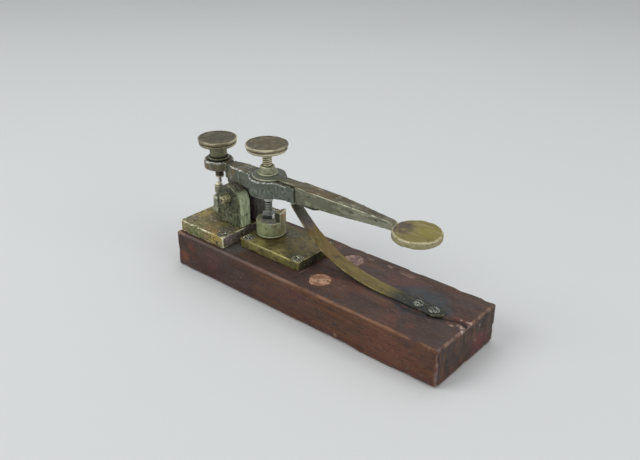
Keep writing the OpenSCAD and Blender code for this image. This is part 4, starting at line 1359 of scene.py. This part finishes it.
@dataclass(frozen=True)
class Bearing:
    """The two arched cheeks, the pin between them and the screws that hold them."""

    finishes: Finishes
    pin_half: float = 15.7
    pin_r: float = 2.3
    near_face: float = 0.26
    far_face: float = 0.4

    def build(self) -> None:
        """Builds and dresses the bearing."""
        for name, face, material, seed in (("near", self.near_face, self.finishes.near_cheek, 61),
                                           ("far", self.far_face, self.finishes.far_cheek, 66)):
            cheek = Surface.of_node(f"worn_{name}_cheek", f"{name}_cheek", face)
            cheek.soften(2)
            cheek.find_edges(10, 0.05)
            cheek.push(-0.3 * soft_step(cheek.wear, 0.15, 0.7))
            cheek.weather(0.07, 0.14, seed, 8)
            cheek.finish(material, Body.BASE, "cheek_brass", f"{name}_cheek")
        self.pin()
        dress_node(self.finishes.screw, "cheek_screws")

    def pin(self) -> None:
        """Builds the pivot pin, turned upright and then laid across the key."""
        half, r = self.pin_half, self.pin_r
        rear = [(0, 1.4 - half), (0.75, -half), (r - 0.45, -half), (r, 0.45 - half)]
        front = [(radius, -height) for radius, height in reversed(rear)]
        pin = Surface.turned("turned_pivot_pin", rear + front, (0, 0, 0), 0.12, 0.4, 48)
        pin.dirt_and_shade = (soft_fall(pin.from_axis((0, 0, 0)), 0.4, 0.9)
                    * soft_step(np.abs(pin.points[:, 2]), half - 2, half - 1.4))
        pin.points = pin.points[:, [0, 2, 1]] * (1, 1, -1) + PIVOT
        pin.find_edges(4, 0.15)
        pin.push(0.03 * grain(pin.points, 1.4, 71))
        pin.finish(self.finishes.pin, Body.BASE, "screw_steel", "pivot_pin")


def head_outline(radius: float, thick: float, low: float, stem: float) -> Outline:
    """Gives a thumbscrew's head: two rims with a groove between them.

    Args:
        radius: The upper rim's radius.
        thick: The head's thickness.
        low: The height of its underside.
        stem: The stem's radius.

    Returns:
        The outline from the stem to the middle of the top.
    """
    lower, groove, high = radius - 0.5, radius - 1.2, low + thick
    return [(stem, low), (radius - 1.1, low), (lower, low + 0.16 * thick),
            (lower, low + 0.36 * thick), (groove, low + 0.44 * thick),
            (groove, low + 0.58 * thick), (radius - 0.2, low + 0.66 * thick),
            (radius, low + 0.72 * thick), (radius, high - 0.4), (radius - 0.4, high),
            (radius - 1.3, high), (radius - 1.6, high - 0.25), (0, high - 0.25)]


@dataclass(frozen=True)
class BackStop:
    """The post, the thumbscrew that comes down on it, and the ring that locks it."""

    finishes: Finishes
    place: Point = BACK_STOP
    post_place: Point = (-83.1, 0.2, REAR_TOP)
    bead: float = 2.03
    pin: float = 3.4
    pin_r: float = 0.95
    reach: float = 12.0
    shank_r: float = 2.6
    stem_r: float = 5.1
    head_r: float = 11.7
    head_t: float = 4.2
    head_up: float = 13.0

    def build(self) -> None:
        """Builds and dresses the back stop."""
        self.post()
        self.thumbscrew()
        self.stop_pin()
        self.ring()

    def post(self) -> None:
        """Builds the post and its bright bead."""
        x, y, low = self.post_place
        top = self.place[2] - self.reach - self.pin - self.bead - low
        outline = [(0, -4.9), (1.8, -4.9), (1.8, 0), (4.9, 0), (4.9, 2.0), (4.6, 2.6), (3.9, 4.2),
                   (3.9, 9.5), (3.2, 10.2), (1.8, 10.2), (1.8, 11.2), (2.6, 12.6), (2.6, top),
                   (0, top)]
        post = Surface.turned("turned_stop_post", outline, self.post_place, 0.18, 0.3, 80)
        post.find_edges(6, 0.12)
        post.weather(0.02, 0.06, 81, 6)
        post.finish(self.finishes.post, Body.BASE, "turned_brass", "stop_post")
        outline = [(0, -1.5), (0.8, -1.5), (0.8, 0), (2.05, 0), (2.1, 0.9), (1.75, 1.55),
                   (1.0, 1.95), (0, 2)]
        bead = Surface.turned("stop_bead_silver", outline, (x, y, low + top), 0.25, 0.25, 48)
        bead.find_edges(4, 0.1)
        # A painted highlight over the bead's upper part, where the pin also wears it bright.
        bead.chip_and_highlight = soft_step(bead.points[:, 2], low + top + 0.6, low + top + 1.3)
        bead.finish(self.finishes.bead, Body.BASE, "contact_metal", "stop_bead")

    def thumbscrew(self) -> None:
        """Builds the thumbscrew, with painted shade just above its ring and a painted highlight
        round the pin in its end.
        """
        shank, stem, end, low = self.shank_r, self.stem_r, -self.reach, self.head_up - self.head_t
        outline = [(0, end), (shank - 0.4, end), (shank, 0.4 + end), (shank, 1.66), (stem, 1.66),
                   (stem, low - 1.4), (stem - 0.5, low)]
        head = head_outline(self.head_r, self.head_t, low, stem - 0.4)[1:]
        screw = Surface.turned("rear_turned_thumbscrew", outline + head, self.place, 0.2, 0.32, 120)
        top = self.place[2]
        screw.thread(self.place, shank, (top - 10.5, top - 5.8), 0.8, 0.2)
        screw.find_edges(6, 0.12)
        screw.weather(0.04, 0.05, 91, 8)
        height = screw.points[:, 2]
        # Painted shade in a band on the stem just above the lock ring.
        screw.add_dirt_and_shade(soft_band(height - top, 1, 1.6, 2, 2.6))
        # A painted highlight round the rim of the thumbscrew's end.
        screw.chip_and_highlight = (soft_step(screw.from_axis(self.place), 1.5, 1.9)
                      * soft_fall(height, top + end + 0.9, top + end + 1.4))
        screw.finish(self.finishes.turned, Body.STOP_SCREW, "turned_brass", "rear_thumbscrew")

    def stop_pin(self) -> None:
        """Builds the pin in the thumbscrew's end."""
        x, y, top = self.place
        r, length = self.pin_r, self.pin + 3
        outline = [(0, 0), (r - 0.15, 0), (r, 0.15), (r, length), (0, length)]
        pin = Surface.turned("stop_pin_silver", outline, (x, y, top - self.reach - self.pin),
                             0.08, 0.3, 32)
        pin.find_edges(3, 0.1)
        pin.finish(self.finishes.silver, Body.STOP_SCREW, "contact_metal", "stop_pin")

    def ring(self) -> None:
        """Builds the lock ring, dark with dirt and painted shade where it meets the casting
        and the stem.
        """
        x, y, top = self.place
        outline = [(2.65, 0), (6.1, 0), (6.4, 0.3), (6.4, 1.3), (6.1, 1.6), (2.65, 1.6)]
        ring = Surface.turned("turned_lock_ring", outline, (x, y, top + 0.03), 0.12, 0.3, 80, True)
        ring.find_edges(5, 0.2)
        ring.weather(0.02, 0.04, 95, 6)
        height = ring.points[:, 2] - top
        # Dirt and painted shade at the ring's foot and top edge.
        ring.add_dirt_and_shade(soft_fall(height, 0.5, 0.8), soft_step(height, 1.45, 1.6))
        ring.finish(self.finishes.nut, Body.LOCKING_RING, "turned_brass", "lock_ring")


@dataclass(frozen=True)
class WorkingContact:
    """The pillar with its block, and the thumbscrew, rod and nut above it."""

    finishes: Finishes
    place: Point = CONTACT
    seat: float = 37.5
    wall_y: float = -0.5
    block_top: float = 40.2
    highlight_corner: tuple[float, float] = (-37.42, 0.85)
    gap: float = 0.7
    rod_r: float = 2.1
    collar: float = 48.4
    shank_r: float = 2.8
    shank_low: float = 52.6
    head_r: float = 12.1
    head_t: float = 4.0
    head_up: float = 19.3
    nut_h: float = 4.7

    def build(self) -> None:
        """Builds and dresses the working contact."""
        self.pillar()
        self.block()
        self.thumbscrew()
        self.rod()
        self.nut()
        dress_node(self.finishes.screw, "pillar_screw")

    def pillar(self) -> None:
        """Builds the worn pillar, with painted shade inside its wall and at its foot."""
        pillar = Surface.of_node("worn_contact_pillar", "contact_pillar", 0.26)
        pillar.find_edges(8, 0.06)
        _, y, z = pillar.points.T
        # Painted shade on the inner face of the wall, above the seat.
        inner = (soft_fall(pillar.normals()[:, 1], -0.8, -0.5)
                 * soft_fall(np.abs(y - self.wall_y), 0.6, 1))
        pillar.push(-0.15 * soft_step(pillar.wear, 0.15, 0.7))
        pillar.weather(0.05, 0.1, 101, 7)
        # Painted shade in a band round the pillar's foot, where it meets the plate.
        foot = soft_fall(z, FRONT_TOP + 0.4, FRONT_TOP + 1.3)
        pillar.add_dirt_and_shade(0.75 * inner * (z > self.seat + 0.2), 0.7 * foot)
        pillar.finish(self.finishes.pillar, Body.BASE, "cheek_brass", "contact_pillar")

    def block(self) -> None:
        """Builds the contact block, with a painted highlight at one corner and painted shade
        down its other sides.
        """
        block = Surface.of_node("filed_contact_block", "contact_block", 0.2)
        block.find_edges(5, 0.1)
        block.weather(0.03, 0.04, 105, 4)
        # A painted highlight at one top corner of the block.
        block.chip_and_highlight = soft_fall(block.from_axis(self.highlight_corner), 0.95, 1.6)
        # Painted shade on every face that does not look up.
        block.dirt_and_shade = 0.65 * soft_fall(block.normals()[:, 2], 0.3, 0.8) * (1 - block.chip_and_highlight)
        block.finish(self.finishes.block, Body.BASE, "contact_metal", "contact_block")

    def thumbscrew(self) -> None:
        """Builds the thumbscrew."""
        x, y, top = self.place
        shank, end, low = self.shank_r, self.shank_low, top + self.head_up - self.head_t
        outline = [(0, end), (shank - 0.5, end), (shank, end + 0.5), (shank, low - 1.4)]
        head = head_outline(self.head_r, self.head_t, low, shank + 0.8)
        screw = Surface.turned("front_turned_thumbscrew", outline + head, (x, y, 0), 0.2, 0.27, 120)
        screw.thread(self.place, shank, (STRAP_TOP + self.nut_h - 1.5, low - 1.5), 1.27, 0.42)
        screw.find_edges(6, 0.12)
        screw.weather(0.04, 0.05, 111, 8)
        screw.finish(self.finishes.turned, Body.WORKING_SCREW, "turned_brass", "front_thumbscrew")

    def rod(self) -> None:
        """Builds the rod, with painted shade at its neck and a painted highlight at its collar."""
        x, y, _ = self.place
        r, wide, tip = self.rod_r, self.shank_r - 0.1, self.block_top + self.gap
        neck, collar, top = self.collar - 0.9, self.collar, self.shank_low - 0.02
        outline = [(0, tip), (1, tip), (r, tip + 0.6), (r, neck), (r - 0.5, neck),
                   (r - 0.5, collar), (wide, collar), (wide, top), (0, top)]
        rod = Surface.turned("contact_rod_silver", outline, (x, y, 0), 0.1, 0.22, 48)
        rod.find_edges(4, 0.08)
        rod.thread(self.place, r, (tip + 1.5, neck - 0.8), 1.6, 0.12)
        height = rod.points[:, 2]
        # Painted shade in the neck under the collar.
        rod.add_dirt_and_shade(soft_band(height, neck - 0.3, neck + 0.1, collar - 0.1, collar + 0.1))
        # A painted highlight round the collar.
        rod.chip_and_highlight = soft_band(height, collar - 0.1, collar + 0.1, collar + 1.1, collar + 1.6)
        rod.finish(self.finishes.rod, Body.WORKING_SCREW, "contact_metal", "contact_rod")

    def nut(self) -> None:
        """Builds the bell-shaped lock nut."""
        x, y, _ = self.place
        h = self.nut_h
        outline = [(2.85, 0), (5.7, 0), (5.7, 0.7), (4.9, 1.1), (4.6, 0.45 * h), (4.15, h - 0.5),
                   (3.75, h), (2.85, h)]
        nut = Surface.turned("bell_lock_nut", outline, (x, y, STRAP_TOP + 0.03), 0.2, 0.3, 80, True)
        nut.find_edges(5, 0.15)
        nut.weather(0.02, 0.05, 121, 6)
        nut.finish(self.finishes.nut, Body.LOCKING_NUT, "turned_brass", "lock_nut")


@dataclass(frozen=True)
class Lever:
    """The grey casting, the brass arm on it and the finger disc."""

    finishes: Finishes
    joint_x: float = -72.0
    dots_y: tuple[float, float] = (-1.5, 3.5)
    disc: Point = (60.0, 0.0, edge_of("finger_disc", Axis.Z, 0))
    disc_r: float = 12.7
    disc_t: float = 3.8
    nose_drop: float = 0.7

    def build(self) -> None:
        """Builds and dresses the lever."""
        self.casting()
        self.arm()
        self.finger_disc()
        dress_node(self.finishes.screw, "disc_screw")
        dress_node(self.finishes.black, "spring_clamp_screws")

    def casting(self) -> None:
        """Builds the casting, with filed edges and the joint behind its neck."""
        body = Surface.of_node("grey_lever_casting", "lever_casting", 0.3)
        body.soften(1)
        body.find_edges(10, 0.05)
        x, y, z = body.points.T
        top = soft_step(z, BACK_STOP[2] - 3, BACK_STOP[2] - 0.5)
        body.wear *= 1 - 0.8 * soft_step(x, -24.5, -22)
        edge = soft_step(body.wear, 0.15, 0.6)
        # Painted highlights along the top edges: broken on the neck, a steady band on the boss.
        broken = (soft_step(grain(body.points, 1.1, 137), -0.25, 0.3)
                  * soft_step(grain(body.points, 9, 138), -0.5, 0.0))
        boss = soft_step(x, -54, -50)
        body.chip_and_highlight = (soft_step(body.wear, 0.06, 0.35) * top
                     * (broken * (1 - 0.55 * boss) + 0.28 * boss))
        body.push(-0.45 * edge * (0.35 + 0.65 * top))
        body.weather(0.06, 0.1, 131, 9)
        line = soft_fall(np.abs(x - self.joint_x), 0.2, 0.55) * soft_step(z, 57, 58)
        dots = sum(soft_fall(np.hypot(x - self.joint_x, y - dot), 0.4, 0.8)
                   for dot in self.dots_y) * top
        body.push(-0.3 * line - 0.5 * dots)
        # Painted shade on the casting round the lock ring's foot.
        ring_shade = soft_band(body.from_axis(BACK_STOP), 5, 6, 6.7, 7.2) * top
        body.add_dirt_and_shade(0.8 * line, dots, 0.9 * ring_shade)
        body.finish(self.finishes.casting, Body.LEVER, "grey_casting", "lever_casting")

    def arm(self) -> None:
        """Builds the arm with its strap and eye."""
        arm = Surface.of_node("drawn_lever_arm", "lever_arm", 0.32)
        arm.find_edges(8, 0.05)
        x, _, z = arm.points.T
        arm.points[:, 2] -= self.nose_drop * soft_step(x, 43.5, 47.5) * soft_step(z, 62, 63)
        # A painted highlight on the arm's lower edge above the spring's bend.
        arm.chip_and_highlight = (0.35 * soft_fall(z, 58.5, 60.8) * soft_step(x, -16, -12)
                    * soft_step(grain(arm.points, 2.2, 145, (1, 1, 2)), -0.5, 0.4))
        arm.push(-0.22 * soft_step(arm.wear, 0.15, 0.6))
        arm.weather(0.06, 0.06, 141, 16, (2, 1, 1))
        arm.finish(self.finishes.arm, Body.LEVER, "arm_brass", "lever_arm")

    def finger_disc(self) -> None:
        """Builds the disc, its edge knocked and lit by painted highlights, and its top dished
        by use.
        """
        r, t = self.disc_r, self.disc_t
        outline = [(0, 0), (r - 0.5, 0), (r, 0.5), (r, t - 0.5), (r - 0.5, t), (0, t)]
        plate = Surface.turned("worn_finger_disc", outline, self.disc, 0.35, 0.45, 128)
        plate.find_edges(7, 0.08)
        radius, z, top = plate.from_axis(self.disc), plate.points[:, 2], self.disc[2] + t
        plate.push(-0.12 * soft_step(z, top - 0.4, top - 0.1) * soft_fall(radius, 2, r))
        # Painted highlights on the upper rim and round the middle of the side.
        rim_highlight = (soft_step(plate.wear, 0.1, 0.5) * soft_step(z, top - 1, top - 0.6)
               * soft_step(grain(plate.points, 0.8, 156), -0.7, 0))
        side = (soft_step(radius, r - 0.7, r - 0.3)
                * soft_step(grain(plate.points, 0.6, 155), 0, 0.6))
        plate.chip_and_highlight = np.maximum(0.5 * rim_highlight, 0.38 * side)
        plate.weather(0.05, 0.06, 151, 9)
        plate.finish(self.finishes.disc, Body.LEVER, "arm_brass", "finger_disc")


@dataclass(frozen=True)
class Spring:
    """The leaf spring, bent in shape from its foot up to its free end, and its two screws."""

    finishes: Finishes
    face: float = 0.25
    droop: float = 0.5
    bend_from_m: float = 0.0236
    bend_to_m: float = 0.0505

    def build(self) -> None:
        """Builds and dresses the spring and its screws."""
        self.leaf()
        self.screws()

    def leaf(self) -> None:
        """Builds the spring, bent in shape between the board and the lever."""
        leaf = Surface.of_node("bent_leaf_spring", "leaf_spring", self.face)
        leaf.find_edges(4, 0.08)
        x, _, z = leaf.points.T
        leaf.points[:, 2] -= self.droop * soft_step(z, 50, 52) * soft_step(x, -14, -6)
        # A painted highlight along the near edge of the spring's bend.
        broken = soft_step(grain(leaf.points, 1.1, 165), -0.3, 0.2)
        leaf.chip_and_highlight = soft_step(z, 52.5, 53.5) * soft_fall(x, -18.6, -17.6) * broken
        leaf.dirt_and_shade = soft_step(z, 54.95, 55.1) * soft_step(x, -18.5, -17.5)
        leaf.weather(0.03, 0.035, 161, 10, (2, 1, 1))
        leaf.finish(self.finishes.spring, Body.BASE, "spring_brass", "leaf_spring")
        leaf.object.parent = None
        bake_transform(leaf.object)

    def screws(self) -> None:
        """Builds the two round-headed screws of the spring's foot."""
        screws = Surface.of_node("spring_foot_round_screws", "spring_foot_screws", 0.2)
        screws.find_edges(5, 0.1)
        screws.push(0.05 * grain(screws.points, 1.1, 171)
                    + 0.08 * grain(screws.points, 0.6, 172) * soft_step(screws.wear, 0.1, 0.5))
        screws.finish(self.finishes.black, Body.BASE, "dark_steel", "spring_foot_screws")


@dataclass(frozen=True)
class Lamp:
    """A square soft lamp that looks at the key."""

    name: str
    place: Point
    size: float
    power: float

    def hang(self, target: Point) -> None:
        """Hangs the lamp at its place.

        Args:
            target: What it looks at.
        """
        lamp = bpy.data.lights.new(self.name, "AREA")
        lamp.energy, lamp.size = self.power, self.size
        holder = link_object(self.name, lamp)
        holder.location = self.place
        aim = Vector(target) - Vector(self.place)
        holder.rotation_euler = aim.to_track_quat("-Z", "Y").to_euler()


@dataclass(frozen=True)
class Studio:
    """The floor, the lamps and the camera, in metres and degrees."""

    azimuth: float = 40.87
    elevation: float = 27.14
    place: Point = (0.2381, -0.2778, 0.2311)
    lens: float = 42.75
    sensor: float = 36.0
    clip: tuple[float, float] = (0.01, 20)
    half: float = 3.0
    floor_z: float = -0.0001
    backdrop: str = "#dcdede"
    room: str = "#e4e6e8"
    room_light: float = 0.46
    aim: Point = (0, 0, 0.03)
    lamps: tuple[Lamp, ...] = (Lamp("key_lamp", (-0.55, -0.75, 0.95), 0.7, 6.6),
                               Lamp("fill_lamp", (1.1, 0.1, 0.55), 0.8, 4.2),
                               Lamp("top_lamp", (-0.1, 0.35, 1.2), 0.9, 4.0))

    def build(self) -> None:
        """Builds the studio."""
        self.floor()
        for lamp in self.lamps:
            lamp.hang(self.aim)
        self.walls()
        self.camera()

    def floor(self) -> None:
        """Lays the pale floor just under the board."""
        mesh = bpy.data.meshes.new("studio_floor")
        h, z = self.half, self.floor_z
        mesh.from_pydata([(-h, -h, z), (h, -h, z), (h, h, z), (-h, h, z)], [], [(0, 1, 2, 3)])
        mesh.materials.append(StudioFloor().make())
        link_object("studio_floor", mesh)

    def walls(self) -> None:
        """Puts the studio in a pale room, with a plain backdrop where it is seen directly."""
        world = bpy.data.worlds.new("pale_room")
        bpy.context.scene.world = world
        world.use_nodes = True
        tree = world.node_tree
        tree.nodes.clear()
        path = add_node(tree, "ShaderNodeLightPath")
        mirrored = add_node(tree, "ShaderNodeMath", {0: path.outputs["Is Glossy Ray"],
                                                     1: path.outputs["Is Transmission Ray"]})
        seen = add_node(tree, "ShaderNodeMath", {0: path.outputs["Is Camera Ray"],
                                                 1: mirrored.outputs[0]}, use_clamp=True)
        room, shown = (add_node(tree, "ShaderNodeBackground",
                                {"Color": linear(colour), "Strength": strength})
                       for colour, strength in ((self.room, self.room_light), (self.backdrop, 1.0)))
        mixed = add_node(tree, "ShaderNodeMixShader", {0: seen.outputs[0], 1: room.outputs[0],
                                                       2: shown.outputs[0]})
        add_node(tree, "ShaderNodeOutputWorld", {"Surface": mixed.outputs[0]})

    def camera(self) -> None:
        """Sets the camera at the photograph's viewing angle."""
        a, e = math.radians(self.azimuth), math.radians(self.elevation)
        back = Vector((math.sin(a) * math.cos(e), -math.cos(a) * math.cos(e), math.sin(e)))
        right = Vector((math.cos(a), math.sin(a), 0))
        turn = Matrix((right, back.cross(right), back)).transposed()
        camera = bpy.data.cameras.new("camera")
        camera.lens, camera.sensor_width, camera.sensor_fit = self.lens, self.sensor, "HORIZONTAL"
        camera.clip_start, camera.clip_end = self.clip
        holder = link_object("camera", camera)
        holder.matrix_world = Matrix.Translation(self.place) @ turn.to_4x4()
        bpy.context.scene.camera = holder
        bpy.context.scene.view_settings.view_transform = "Standard"


def main() -> None:
    """Builds the key from the board up, then its studio."""
    logging.basicConfig(level=logging.INFO, format="%(name)s: %(message)s")
    finishes = Finishes()
    for assembly in (Board, Plates, Bearing, BackStop, WorkingContact, Lever, Spring):
        assembly(finishes).build()
        log.info("%s done", assembly.__name__)
    Studio().build()


if __name__ == "__main__":
    main()
